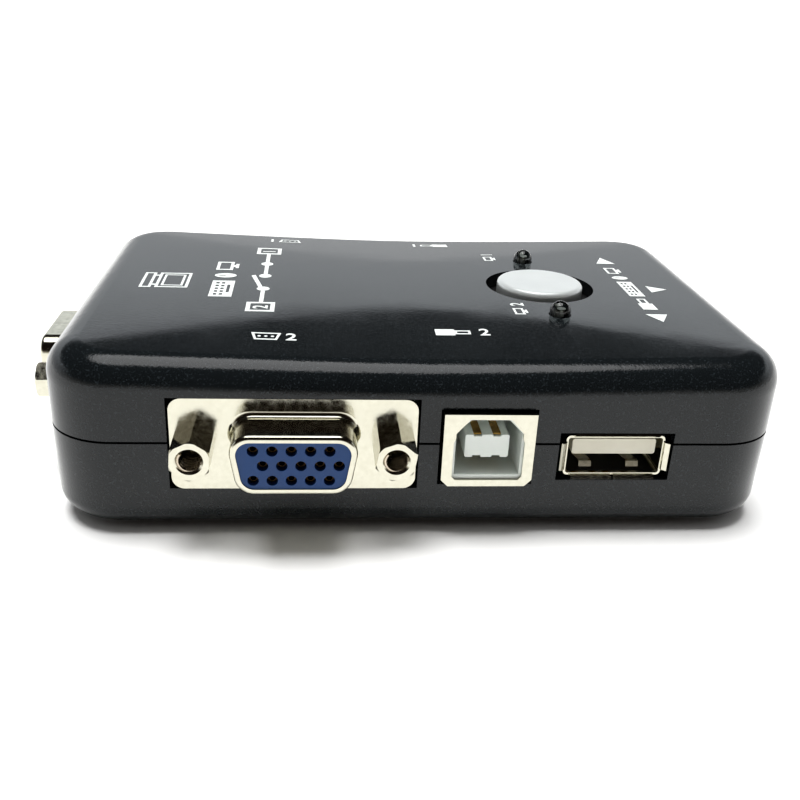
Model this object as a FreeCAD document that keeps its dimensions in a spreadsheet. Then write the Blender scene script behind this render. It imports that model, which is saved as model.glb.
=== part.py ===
"""Two-computer KVM switch: VGA and USB sockets on a board inside a black two-part case.

Row frame, in millimetres: the origin is the centre of the case's footprint on the plane that the feet
stand on. +X points to the console USB end, -Y to the front ports, +Y to the back ports, +Z up.
Each connector is modelled in a frame of its own: the origin lies in the case wall's outer plane at the
middle of the port, -Y points out of the case, and the connector's Placement carries it to its wall.
"""
import FreeCAD, Part
import math
import os
import Sketcher
from FreeCAD import Placement, Rotation, Vector

DIMENSIONS = {
    # case
    "case_length": 96.3, "case_depth": 65.4, "case_bottom": 1.0, "case_top": 24.35,
    "corner_radius": 9.0, "roof_fillet": 4.3, "floor_fillet": 3.0, "draft_angle": 1.0,
    "parting_height": 13.4, "parting_gap": 0.3, "wall": 2.2, "floor_thickness": 2.0,
    "roof_thickness": 2.0, "roof_edge_inside": 20.4, "raised_roof_depth": 31.6,
    "lip_wall": 0.9, "lip_height": 1.4, "slip": 0.1, "window_side": 0.3, "window_rise": 0.05,
    # roof facets
    "facet_reach": 20.9, "facet_slope": 0.06, "facet_spread": 2.0, "facet_crown": 15.0,
    "facet_blend": 0.08,
    # case screws and feet
    "screw_x": 38.5, "screw_y": 24.5, "boss_radius": 3.2, "screw_radius": 1.25, "screw_length": 12.0,
    "screw_head_radius": 2.5, "screw_head_height": 1.7, "screw_seat": 3.4,
    "foot_radius": 4.6, "foot_recess": 0.6,
    # board
    "board_length": 88.0, "board_depth": 58.0, "board_thickness": 1.6, "board_top": 7.5,
    "board_corner": 4.0,
    # port places
    "vga_x": -16.65, "vga_height": 13.23, "type_b_x": 7.85, "type_b_height": 12.88,
    "type_a_x": 24.75, "type_a_height": 11.54,
    # VGA socket
    "flange_width": 30.8, "flange_height": 12.5, "flange_corner": 1.6, "flange_thickness": 0.8,
    "shell_width": 16.33, "shell_height": 7.9, "shell_length": 5.8, "shell_slant": 10.0,
    "shell_corner": 2.5, "shell_skin": 0.45, "shell_mouth": 0.8, "shell_round": 0.55, "shell_root": 0.7,
    "jack_spacing": 24.99, "jack_across": 4.75, "jack_length": 4.7, "jack_bore": 1.42,
    "jack_stud": 1.15, "jack_clearance": 1.65, "jack_turn_left": -4.0, "jack_turn_right": -10.0,
    "contact_pitch": 2.29, "contact_row": 1.98, "contact_hole": 0.68,
    "housing_width": 20.0, "housing_depth": 9.0,
    # USB-B socket
    "type_b_width": 11.8, "type_b_tall": 10.15, "type_b_proud": 1.0, "type_b_depth": 15.0,
    "type_b_skin": 0.35,
    # USB-A socket
    "type_a_width": 13.1, "type_a_tall": 5.7, "type_a_recess": 0.5, "type_a_depth": 14.0,
    "type_a_skin": 0.3, "type_a_window_width": 15.1, "type_a_window_height": 6.86,
    # push button
    "button_x": 20.5, "button_hole": 8.3, "cap_radius": 6.6, "cap_rise": 0.8, "cap_skirt": 2.1,
    "plunger_flange": 9.2, "collar_inner": 9.6, "collar_outer": 10.8, "collar_bottom": 17.5,
    "switch_width": 6.0, "switch_height": 3.5, "switch_stem": 1.75, "switch_stem_top": 12.0,
    # indicator lights
    "light_x": 20.55, "light_y": 13.5, "light_radius": 1.5, "light_flange": 1.9, "light_rise": 2.0,
}

doc = FreeCAD.newDocument("KvmSwitch")
sheet = doc.addObject("Spreadsheet::Sheet", "Dims")
for row, (alias, size) in enumerate(DIMENSIONS.items(), start=1):
    sheet.set(f"A{row}", alias)
    sheet.set(f"B{row}", str(size))
    sheet.setAlias(f"B{row}", alias)
doc.recompute()

sub_parts = []


def dim(alias):
    """Return a driving dimension from the sheet."""
    return float(sheet.get(alias))


def value(expression):
    """Return the number that an expression over the sheet stands for."""
    result = sheet.evalExpression(str(expression))
    return float(getattr(result, "Value", result))


def bind(item, prop, expression):
    """Bind a property to an expression."""
    item.setExpression(prop, str(expression))


def place(item, at, turn=0.0, axis=Vector(0, 0, 1)):
    """Turn an object and bind the three coordinates of its place to expressions."""
    item.Placement = Placement(Vector(), Rotation(axis, turn))
    for letter, expression in zip("xyz", at):
        bind(item, f"Placement.Base.{letter}", expression)
    return item


def sub_part(label, item, at=None, turn=0.0):
    """Name a finished sub-part, put it in its place and list it for export."""
    item.Label = label
    if at is not None:
        place(item, at, turn)
    sub_parts.append(item)
    return item


def box(size, at):
    """A block: size along X, Y, Z, and the middle of its bottom face."""
    block = doc.addObject("Part::Box", "Block")
    for prop, expression in zip(("Length", "Width", "Height"), size):
        bind(block, prop, expression)
    return place(block, (f"({at[0]}) - ({size[0]}) / 2", f"({at[1]}) - ({size[1]}) / 2", at[2]))


LAID_ALONG = {"z": (0, Vector(0, 0, 1)), "y": (-90, Vector(1, 0, 0))}


def cylinder(radius, height, at, axis="z"):
    """A cylinder that starts at the point and runs along +Z or +Y."""
    rod = doc.addObject("Part::Cylinder", "Rod")
    bind(rod, "Radius", radius)
    bind(rod, "Height", height)
    return place(rod, at, *LAID_ALONG[axis])


def cone(radius_start, radius_end, height, at, axis="z"):
    """A truncated cone that starts at the point and runs along +Z or +Y."""
    taper = doc.addObject("Part::Cone", "Taper")
    bind(taper, "Radius1", radius_start)
    bind(taper, "Radius2", radius_end)
    bind(taper, "Height", height)
    return place(taper, at, *LAID_ALONG[axis])


def fuse(*items):
    """Several solids joined into one."""
    joined = doc.addObject("Part::MultiFuse", "Joined")
    joined.Shapes = list(items)
    return joined


def group(*items):
    """Several separate solids kept as one sub-part."""
    together = doc.addObject("Part::Compound", "Together")
    together.Links = list(items)
    return together


def cut(base, *tools):
    """A solid with other solids taken away."""
    result = doc.addObject("Part::Cut", "Cut")
    result.Base = base
    result.Tool = tools[0] if len(tools) == 1 else fuse(*tools)
    return result


def prism(plane, corners, start, length, taper=None):
    """A body padded from a closed polygon on an origin plane, whose corners are pairs of expressions.

    XY runs up +Z from start, XZ runs along -Y, and YZ along +X.
    """
    body = doc.addObject("PartDesign::Body", "Body")
    sketch = body.newObject("Sketcher::SketchObject", "Outline")
    support = next(item for item in body.Origin.OriginFeatures if item.Role == plane)
    sketch.AttachmentSupport = [(support, "")]
    sketch.MapMode = "FlatFace"
    bind(sketch, "AttachmentOffset.Base.z", start)
    points = [Vector(value(x), value(y), 0) for x, y in corners]
    for index, point in enumerate(points):
        sketch.addGeometry(Part.LineSegment(point, points[(index + 1) % len(points)]), False)
    for index in range(len(points)):
        sketch.addConstraint(Sketcher.Constraint("Coincident", index, 2, (index + 1) % len(points), 1))
    for index, (x, y) in enumerate(corners):
        for kind, expression, now in (("DistanceX", x, points[index].x), ("DistanceY", y, points[index].y)):
            number = sketch.addConstraint(Sketcher.Constraint(kind, -1, 1, index, 1, now))
            bind(sketch, f"Constraints[{number}]", expression)
    pad = body.newObject("PartDesign::Pad", "Pad")
    pad.Profile = sketch
    bind(pad, "Length", length)
    if taper is not None:
        bind(pad, "TaperAngle", taper)
    doc.recompute()
    return body


def round_edges(body, radius, wanted):
    """Fillet the edges of a body that the test picks."""
    tip = body.Tip
    names = [f"Edge{number}" for number, edge in enumerate(tip.Shape.Edges, start=1) if wanted(edge)]
    fillet = body.newObject("PartDesign::Fillet", "Rounding")
    fillet.Base = (tip, names)
    bind(fillet, "Radius", radius)
    doc.recompute()
    return body


def runs_along(axis):
    """A test for edges that run along an axis, 0 for X, 1 for Y and 2 for Z."""
    def wanted(edge):
        return abs(edge.tangentAt(edge.FirstParameter)[axis]) > 0.95
    return wanted


def lies_at(axis, level):
    """A test for edges that lie in a plane across an axis."""
    def wanted(edge):
        bounds = edge.BoundBox
        low = (bounds.XMin, bounds.YMin, bounds.ZMin)[axis]
        high = (bounds.XMax, bounds.YMax, bounds.ZMax)[axis]
        return abs(low - level) < 0.01 and abs(high - level) < 0.01
    return wanted


def rectangle(width, height, middle_y="0"):
    """The corners of a rectangle centred on the plane's origin, or above it by middle_y."""
    low, high = f"{middle_y} - ({height}) / 2", f"{middle_y} + ({height}) / 2"
    return [(f"-({width}) / 2", low), (f"({width}) / 2", low), (f"({width}) / 2", high),
            (f"-({width}) / 2", high)]


def rounded_block(inset, bottom, top, radius):
    """The case's plan drawn in by an inset, between two heights, with rounded corners."""
    body = prism("XY_Plane", rectangle(f"Dims.case_length - 2 * ({inset})",
                                       f"Dims.case_depth - 2 * ({inset})"),
                 bottom, f"({top}) - ({bottom})")
    return round_edges(body, radius, runs_along(2))


FRONT_WALL, BACK_WALL = "-Dims.case_depth / 2", "Dims.case_depth / 2"
MONITOR_WALL, CONSOLE_WALL = "-Dims.case_length / 2", "Dims.case_length / 2"
VGA_PORTS = {"front": ("Dims.vga_x", FRONT_WALL, 0), "back": ("Dims.vga_x", BACK_WALL, 180),
             "monitor": (MONITOR_WALL, "0", -90)}
TYPE_B_PORTS = {"front": ("Dims.type_b_x", FRONT_WALL, 0), "back": ("Dims.type_b_x", BACK_WALL, 180)}
TYPE_A_PORTS = {"front": ("Dims.type_a_x", FRONT_WALL, 0), "back": ("Dims.type_a_x", BACK_WALL, 180),
                "console": (CONSOLE_WALL, "0", 90)}
SCREW_PLACES = [(f"{sx}Dims.screw_x", f"{sy}Dims.screw_y") for sx in ("-", "") for sy in ("-", "")]
ROOF_INSIDE = "Dims.case_top - Dims.roof_thickness"
BOARD_BOTTOM = "Dims.board_top - Dims.board_thickness"
WINDOW_DEPTH = "4 * Dims.wall"


# ---------------------------------------------------------------- case

def window(port, width, height, middle_height):
    """A block that cuts a port's window through its wall."""
    x, y, turn = port
    size = (width, WINDOW_DEPTH, height) if turn in (0, 180) else (WINDOW_DEPTH, width, height)
    return box(size, (x, y, f"({middle_height}) - ({height}) / 2"))


def port_windows():
    """All the blocks that cut the ports' windows through the walls."""
    side, rise = "2 * Dims.window_side", "2 * Dims.window_rise"
    blocks = [window(port, f"Dims.flange_width + {side}", f"Dims.flange_height + {rise}",
                     "Dims.vga_height") for port in VGA_PORTS.values()]
    blocks += [window(port, f"Dims.type_b_width + {side}", f"Dims.type_b_tall + {side}",
                      "Dims.type_b_height") for port in TYPE_B_PORTS.values()]
    blocks += [window(port, "Dims.type_a_window_width", "Dims.type_a_window_height",
                      "Dims.type_a_height") for port in TYPE_A_PORTS.values()]
    return blocks


def roof_cutter():
    """The space above the roof: a flat roof that falls away in two shallow facets.

    Each facet falls towards its long wall. Its border on the flat roof is a wide V, whose point lies
    facet_reach inside the wall, and both the point and the border itself are softened.
    """
    top, slope, blend = dim("case_top"), dim("facet_slope"), dim("facet_blend")
    border = dim("case_depth") / 2 - dim("facet_reach")
    crown, spread = dim("facet_crown"), dim("facet_spread")

    def roof_height(x, y):
        along = abs(y) - border - (math.hypot(x, crown) - crown) / spread
        fall = slope * along
        return top - (fall + math.hypot(fall, blend)) / 2

    columns, rows, overhang = 49, 41, 4.0
    half_length, half_depth = dim("case_length") / 2 + overhang, dim("case_depth") / 2 + overhang
    grid = []
    for column in range(columns):
        x = half_length * (2 * column / (columns - 1) - 1)
        ys = [half_depth * (2 * step / (rows - 1) - 1) for step in range(rows)]
        grid.append([Vector(x, y, roof_height(x, y)) for y in ys])
    surface = Part.BSplineSurface()
    surface.interpolate(grid)
    cutter = doc.addObject("Part::Feature", "RoofCutter")
    cutter.Shape = surface.toShape().extrude(Vector(0, 0, top))
    return cutter


def top_shell():
    """The upper case moulding, with its roof, button collar, screw bosses and openings."""
    seam = "Dims.parting_height + Dims.parting_gap / 2"
    outside = cut(rounded_block("0", seam, "Dims.case_top + 1", "Dims.corner_radius"), roof_cutter())
    doc.recompute()
    rounded = doc.addObject("Part::Fillet", "RoofRounding")
    rounded.Base = outside
    rim_level = dim("case_top") - dim("facet_slope") * dim("facet_reach") - 1.0
    rounded.Edges = [(number, dim("roof_fillet"), dim("roof_fillet"))
                     for number, edge in enumerate(outside.Shape.Edges, start=1)
                     if edge.BoundBox.ZMin > rim_level]
    inner_radius = "Dims.corner_radius - Dims.wall"
    cavity = rounded_block("Dims.wall", "Dims.parting_height - 1", "Dims.roof_edge_inside", inner_radius)
    raised = box(("Dims.case_length - 4 * Dims.wall", "Dims.raised_roof_depth", "10"),
                 ("0", "0", f"{ROOF_INSIDE} - 10"))
    rebate = rounded_block("Dims.wall - Dims.lip_wall - Dims.slip", "Dims.parting_height - 1",
                           "Dims.parting_height + Dims.lip_height + 2 * Dims.slip",
                           f"{inner_radius} + Dims.lip_wall + Dims.slip")
    bosses = [cylinder("Dims.boss_radius", f"{ROOF_INSIDE} - Dims.board_top - 0.5", (x, y, "Dims.board_top"))
              for x, y in SCREW_PLACES]
    collar = cylinder("Dims.collar_outer", "Dims.case_top - 1 - Dims.collar_bottom",
                      ("Dims.button_x", "0", "Dims.collar_bottom"))
    body = fuse(cut(rounded, cavity, raised, rebate), collar, *bosses)
    openings = [cylinder("Dims.screw_radius + 0.05", "Dims.screw_length", (x, y, "Dims.board_top - 1"))
                for x, y in SCREW_PLACES]
    openings += [cylinder("Dims.light_radius + Dims.slip", "10", ("Dims.light_x", f"{sign}Dims.light_y", "18"))
                 for sign in ("-", "")]
    openings.append(cylinder("Dims.button_hole", "20", ("Dims.button_x", "0", "10")))
    openings.append(cylinder("Dims.collar_inner", f"{ROOF_INSIDE} - 10", ("Dims.button_x", "0", "10")))
    sub_part("top_shell", cut(body, *openings, *port_windows()))


def bottom_shell():
    """The lower case moulding, with its seam lip, board bosses and foot recesses."""
    seam = "Dims.parting_height - Dims.parting_gap / 2"
    outside = prism("XY_Plane", rectangle("Dims.case_length", "Dims.case_depth"), f"-({seam})",
                    f"{seam} - Dims.case_bottom", "-Dims.draft_angle")
    round_edges(outside, "Dims.corner_radius", runs_along(2))
    round_edges(outside, "Dims.floor_fillet", lies_at(2, -dim("case_bottom")))
    flipped = place(group(outside), ("0", "0", "0"), 180, Vector(1, 0, 0))
    inner_radius = "Dims.corner_radius - Dims.wall"
    floor = "Dims.case_bottom + Dims.floor_thickness"
    cavity = rounded_block("Dims.wall", floor, "Dims.parting_height + 5", inner_radius)
    lip_outside = rounded_block("Dims.wall - Dims.lip_wall", "Dims.parting_height - 1",
                                "Dims.parting_height + Dims.lip_height", f"{inner_radius} + Dims.lip_wall")
    lip_inside = rounded_block("Dims.wall", "Dims.parting_height - 2",
                               "Dims.parting_height + Dims.lip_height + 1", inner_radius)
    bosses = [cylinder("Dims.boss_radius + 0.6", f"{BOARD_BOTTOM} - ({floor}) + 0.5", (x, y, f"{floor} - 0.5"))
              for x, y in SCREW_PLACES]
    body = fuse(cut(flipped, cavity), cut(lip_outside, lip_inside), *bosses)
    holes = []
    for x, y in SCREW_PLACES:
        holes.append(cylinder("Dims.screw_radius + 0.25", "10", (x, y, "0")))
        holes.append(cylinder("Dims.screw_head_radius + 0.3", "Dims.screw_seat", (x, y, "0")))
        holes.append(cylinder("Dims.foot_radius + 0.2", "Dims.case_bottom + Dims.foot_recess", (x, y, "0")))
    sub_part("bottom_shell", cut(body, *holes, *port_windows()))


def case_hardware():
    """The feet, and the self-tapping screws that they cover."""
    feet, screws = [], []
    for x, y in SCREW_PLACES:
        pad_height = "Dims.case_bottom + Dims.foot_recess"
        feet.append(fuse(cone("Dims.foot_radius - 0.5", "Dims.foot_radius", "0.5", (x, y, "0")),
                         cylinder("Dims.foot_radius", f"{pad_height} - 0.5", (x, y, "0.5"))))
        head = cylinder("Dims.screw_head_radius", "Dims.screw_head_height",
                        (x, y, "Dims.screw_seat - Dims.screw_head_height"))
        shank = cylinder("Dims.screw_radius", "Dims.screw_length", (x, y, "Dims.screw_seat - 0.5"))
        slots = [box(size, (x, y, "Dims.screw_seat - Dims.screw_head_height"))
                 for size in (("2.6", "0.5", "0.8"), ("0.5", "2.6", "0.8"))]
        screws.append(cut(fuse(head, shank), *slots))
    sub_part("rubber_feet", group(*feet))
    sub_part("case_screws", group(*screws))


# ---------------------------------------------------------------- VGA sockets

def shell_profile(inset):
    """The corners of the D outline, drawn in by an inset: wide side up, ends slanted."""
    half_height = f"(Dims.shell_height / 2 - ({inset}))"
    lean = f"{half_height} * tan(Dims.shell_slant * 1deg)"
    middle = f"(Dims.shell_width / 2 - Dims.shell_height / 2 * tan(Dims.shell_slant * 1deg) - ({inset}))"
    return [(f"-({middle} - {lean})", f"-{half_height}"), (f"{middle} - {lean}", f"-{half_height}"),
            (f"{middle} + {lean}", half_height), (f"-({middle} + {lean})", half_height)]


def shell_prism(inset, front, back, radius):
    """A D-shaped block between two depths, front and back, measured inwards from the wall."""
    body = prism("XZ_Plane", shell_profile(inset), f"-({back})", f"({back}) - ({front})")
    return round_edges(body, radius, runs_along(1))


def contact_places():
    """The places of the 15 contacts in the port's own plane, with the number of their row."""
    places = []
    for row_number, shift in enumerate((-0.28, 0.87, -0.28)):
        for column in range(5):
            places.append((f"{column - 2} * Dims.contact_pitch + ({shift})",
                           f"{1 - row_number} * Dims.contact_row", row_number))
    return places


def vga_socket(side, port):
    """One VGA socket: plated front shell, insulator, contacts, rear bracket and jackscrews."""
    x, y, turn = port
    at = (x, y, "Dims.vga_height")
    rear_face = "Dims.flange_thickness"

    plate = prism("XZ_Plane", rectangle("Dims.flange_width", "Dims.flange_height"), f"-{rear_face}", rear_face)
    round_edges(plate, "Dims.flange_corner", runs_along(1))
    nose = shell_prism("0", "-Dims.shell_length", rear_face, "Dims.shell_corner")
    round_edges(nose, "Dims.shell_round", lies_at(1, -dim("shell_length")))
    pressed = fuse(plate, nose)
    doc.recompute()
    root = doc.addObject("Part::Fillet", "RootRounding")
    root.Base = pressed
    root.Edges = [(number, dim("shell_root"), dim("shell_root"))
                  for number, edge in enumerate(pressed.Shape.Edges, start=1)
                  if lies_at(1, 0)(edge) and edge.BoundBox.XMax < dim("shell_width") / 2 + 0.1
                  and edge.BoundBox.XMin > -dim("shell_width") / 2 - 0.1]
    tunnel = shell_prism("Dims.shell_skin", "-Dims.shell_length + 0.5", "5",
                         "Dims.shell_corner - Dims.shell_skin")
    mouth = shell_prism("Dims.shell_mouth", "-Dims.shell_length - 1", "5", "Dims.shell_corner - Dims.shell_mouth")
    jack_holes = [cylinder("Dims.jack_clearance", "5", (f"{sign}Dims.jack_spacing / 2", "-1", "0"), "y")
                  for sign in ("-", "")]
    sub_part(f"{side}_vga_shell", cut(root, tunnel, mouth, *jack_holes), at, turn)

    housing_back = f"{rear_face} + Dims.housing_depth"
    housing_bottom = "Dims.board_top - Dims.vga_height"
    face = shell_prism("Dims.shell_mouth + 0.02", "-Dims.shell_length + 0.15", rear_face,
                       "Dims.shell_corner - Dims.shell_mouth")
    core = shell_prism("Dims.shell_skin + 0.02", "-Dims.shell_length + 0.6", rear_face,
                       "Dims.shell_corner - Dims.shell_skin")
    housing = box(("Dims.housing_width", "Dims.housing_depth", f"Dims.flange_height / 2 - ({housing_bottom}) - 0.6"),
                  ("0", f"{rear_face} + Dims.housing_depth / 2", housing_bottom))
    drilled = []
    for moulding in (fuse(face, core), housing):
        bores = [cylinder("Dims.contact_hole", "30", (px, "-Dims.shell_length - 1", pz), "y")
                 for px, pz, _ in contact_places()]
        drilled.append(cut(moulding, *bores))
    sub_part(f"{side}_vga_insulator", group(*drilled), at, turn)

    contacts = []
    for px, pz, row_number in contact_places():
        reach = f"{housing_back} + {1.0 + 2.0 * row_number}"
        drop = f"{pz} - ({BOARD_BOTTOM} - Dims.vga_height) + 1.2"
        start = "-Dims.shell_length + 1.0"
        barrel = cylinder("0.56", f"{reach} - ({start})", (px, start, pz), "y")
        socket_hole = cylinder("0.38", "5", (px, "-Dims.shell_length", pz), "y")
        tail = box(("0.5", "0.5", drop), (px, f"{reach} - 0.45", f"{pz} - ({drop})"))
        contacts.append(cut(fuse(barrel, tail), socket_hole))
    sub_part(f"{side}_vga_contacts", group(*contacts), at, turn)

    bracket_back = f"{rear_face} + 0.8"
    bracket = prism("XZ_Plane", rectangle("Dims.flange_width - 0.4", "Dims.flange_height - 0.4"),
                    f"-({bracket_back})", "0.8")
    round_edges(bracket, "Dims.flange_corner", runs_along(1))
    clearance = box(("Dims.housing_width + 0.1", "5", "Dims.flange_height + 1"),
                    ("0", "2", "-Dims.flange_height / 2 - 1.1"))
    feet, nuts = [], []
    for sign in ("-", ""):
        jack_x = f"{sign}Dims.jack_spacing / 2"
        feet.append(box(("4.0", "6.0", "0.8"), (jack_x, f"{rear_face} + 3", housing_bottom)))
        feet.append(cylinder("1.1", "Dims.board_thickness + 1.2",
                             (jack_x, f"{rear_face} + 4.4", f"{housing_bottom} - Dims.board_thickness - 1")))
        nuts.append(cylinder("2.4", "2.6", (jack_x, rear_face, "0"), "y"))
    threads = [cylinder("Dims.jack_stud + 0.05", "10", (f"{sign}Dims.jack_spacing / 2", "0", "0"), "y")
               for sign in ("-", "")]
    sub_part(f"{side}_vga_bracket", cut(fuse(cut(bracket, clearance), *feet, *nuts), *threads), at, turn)

    jackscrews = [jackscrew("-Dims.jack_spacing / 2", dim("jack_turn_left")),
                  jackscrew("Dims.jack_spacing / 2", dim("jack_turn_right"))]
    sub_part(f"{side}_vga_jackscrews", group(*jackscrews), at, turn)


def jackscrew(at_x, turn):
    """A hexagonal standoff, a little turned, with a bore in front and a stud behind."""
    hexagon = doc.addObject("Part::Prism", "Hexagon")
    hexagon.Polygon = 6
    bind(hexagon, "Circumradius", "Dims.jack_across / sqrt(3)")
    bind(hexagon, "Height", "Dims.jack_length")
    hexagon.Placement = Placement(Vector(), Rotation(Vector(1, 0, 0), 90)
                                  * Rotation(Vector(0, 0, 1), 90 + turn))
    bind(hexagon, "Placement.Base.x", at_x)
    rim = cone("Dims.jack_across / sqrt(3) - 0.25", "Dims.jack_across / sqrt(3) + 0.95", "1.2",
               (at_x, "-Dims.jack_length", "0"), "y")
    rest = cylinder("Dims.jack_across", "Dims.jack_length", (at_x, "-Dims.jack_length + 1.2", "0"), "y")
    faced = doc.addObject("Part::Common", "Faced")
    faced.Base = hexagon
    faced.Tool = fuse(rim, rest)
    stud = cylinder("Dims.jack_stud", "5.5", (at_x, "-0.5", "0"), "y")
    bore = cylinder("Dims.jack_bore", "Dims.jack_length - 0.2", (at_x, "-Dims.jack_length - 0.5", "0"), "y")
    mouth = cone("Dims.jack_bore + 0.3", "Dims.jack_bore", "0.3", (at_x, "-Dims.jack_length", "0"), "y")
    return cut(fuse(faced, stud), bore, mouth)


# ---------------------------------------------------------------- USB sockets

def usb_b_socket(side, port):
    """One USB-B socket: plated shell, white insulator with its tongue, and four contacts."""
    x, y, turn = port
    at = (x, y, "Dims.type_b_height")
    depth = "Dims.type_b_depth + Dims.type_b_proud"
    opening_top, opening_bottom = "Dims.type_b_tall / 2 - 0.65", "-Dims.type_b_tall / 2 + 0.9"
    back = "Dims.type_b_depth"

    half, low, corner = "Dims.type_b_width / 2", "-Dims.type_b_tall / 2", "0.9"
    outline = [(f"-{half} + {corner}", low), (f"{half} - {corner}", low), (half, f"{low} + {corner}"),
               (half, f"-({low})"), (f"-{half}", f"-({low})"), (f"-{half}", f"{low} + {corner}")]
    outside = prism("XZ_Plane", outline, f"-({back})", depth)
    inside = box(("Dims.type_b_width - 2 * Dims.type_b_skin", "30", "Dims.type_b_tall - 2 * Dims.type_b_skin"),
                 ("0", "15 - Dims.type_b_proud + 0.4", "-Dims.type_b_tall / 2 + Dims.type_b_skin"))
    shoulder, side_width, top_width = f"{opening_top} - 2.0", "4.3", "2.6"
    wide, notch = "4.55", f"{opening_top} - 3.3"
    mouth_outline = [("-4.1", opening_bottom), ("4.1", opening_bottom), (wide, f"{opening_bottom} + 0.5"),
                     (wide, notch), (side_width, f"{shoulder} - 0.7"), (side_width, shoulder),
                     (top_width, opening_top), (f"-{top_width}", opening_top), (f"-{side_width}", shoulder),
                     (f"-{side_width}", f"{shoulder} - 0.7"), (f"-{wide}", notch),
                     (f"-{wide}", f"{opening_bottom} + 0.5")]
    mouth = prism("XZ_Plane", mouth_outline, "-1", "5")
    pegs = [box(("0.8", "2.0", "Dims.board_thickness + 1.0 + Dims.type_b_skin"),
                (f"{sign}(Dims.type_b_width / 2 - 0.4)", "9", f"{low} - Dims.board_thickness - 1"))
            for sign in ("-", "")]
    sub_part(f"{side}_usb_b_shell", fuse(cut(outside, inside, mouth), *pegs), at, turn)

    front = "-Dims.type_b_proud + 0.45"
    block = box(("Dims.type_b_width - 2 * Dims.type_b_skin - 0.04", f"{back} - ({front}) - 0.1",
                 "Dims.type_b_tall - 2 * Dims.type_b_skin - 0.04"),
                ("0", f"({back} - 0.1 + ({front})) / 2", "-Dims.type_b_tall / 2 + Dims.type_b_skin + 0.02"))
    room_top, room_bottom = "4.15", "-3.6"
    room_outline = [("-4.23", room_bottom), ("4.23", room_bottom), ("4.23", f"{room_top} - 1.8"),
                    ("2.43", room_top), ("-2.43", room_top), ("-4.23", f"{room_top} - 1.8")]
    room = prism("XZ_Plane", room_outline, "-9.5", "12")
    tongue = prism("XZ_Plane", rectangle("5.7", "3.2", "0.0"), "-9.6", "9.1")
    round_edges(tongue, "0.25", runs_along(1))
    slots = [box(("1.1", "40", "0.3"), (f"{px}", "20.5", pz)) for px, pz in TYPE_B_CONTACTS]
    sub_part(f"{side}_usb_b_insulator", cut(fuse(cut(block, room), tongue), *slots), at, turn)

    contacts = []
    for px, pz in TYPE_B_CONTACTS:
        strip = box(("1.0", "15.5", "0.2"), (px, "1.0 + 15.5 / 2", f"{pz} + 0.05"))
        drop = f"({pz}) - ({BOARD_BOTTOM} - Dims.type_b_height) + 1.2"
        row_shift = 0.0 if float(pz) > 0 else -0.5
        tail = box(("0.6", "0.3", drop), (px, f"16.3 + {row_shift}", f"({pz}) + 0.25 - ({drop})"))
        contacts.append(fuse(strip, tail))
    sub_part(f"{side}_usb_b_contacts", group(*contacts), at, turn)


TYPE_B_CONTACTS = [("-1.25", "1.35"), ("1.25", "1.35"), ("-1.25", "-1.65"), ("1.25", "-1.65")]


def lip(along, section, start):
    """A flared lip of a USB-A shell: a bent strip, drawn as its section, running along X or Z."""
    return prism("YZ_Plane" if along == "x" else "XY_Plane", section, start[0], start[1])


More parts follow.
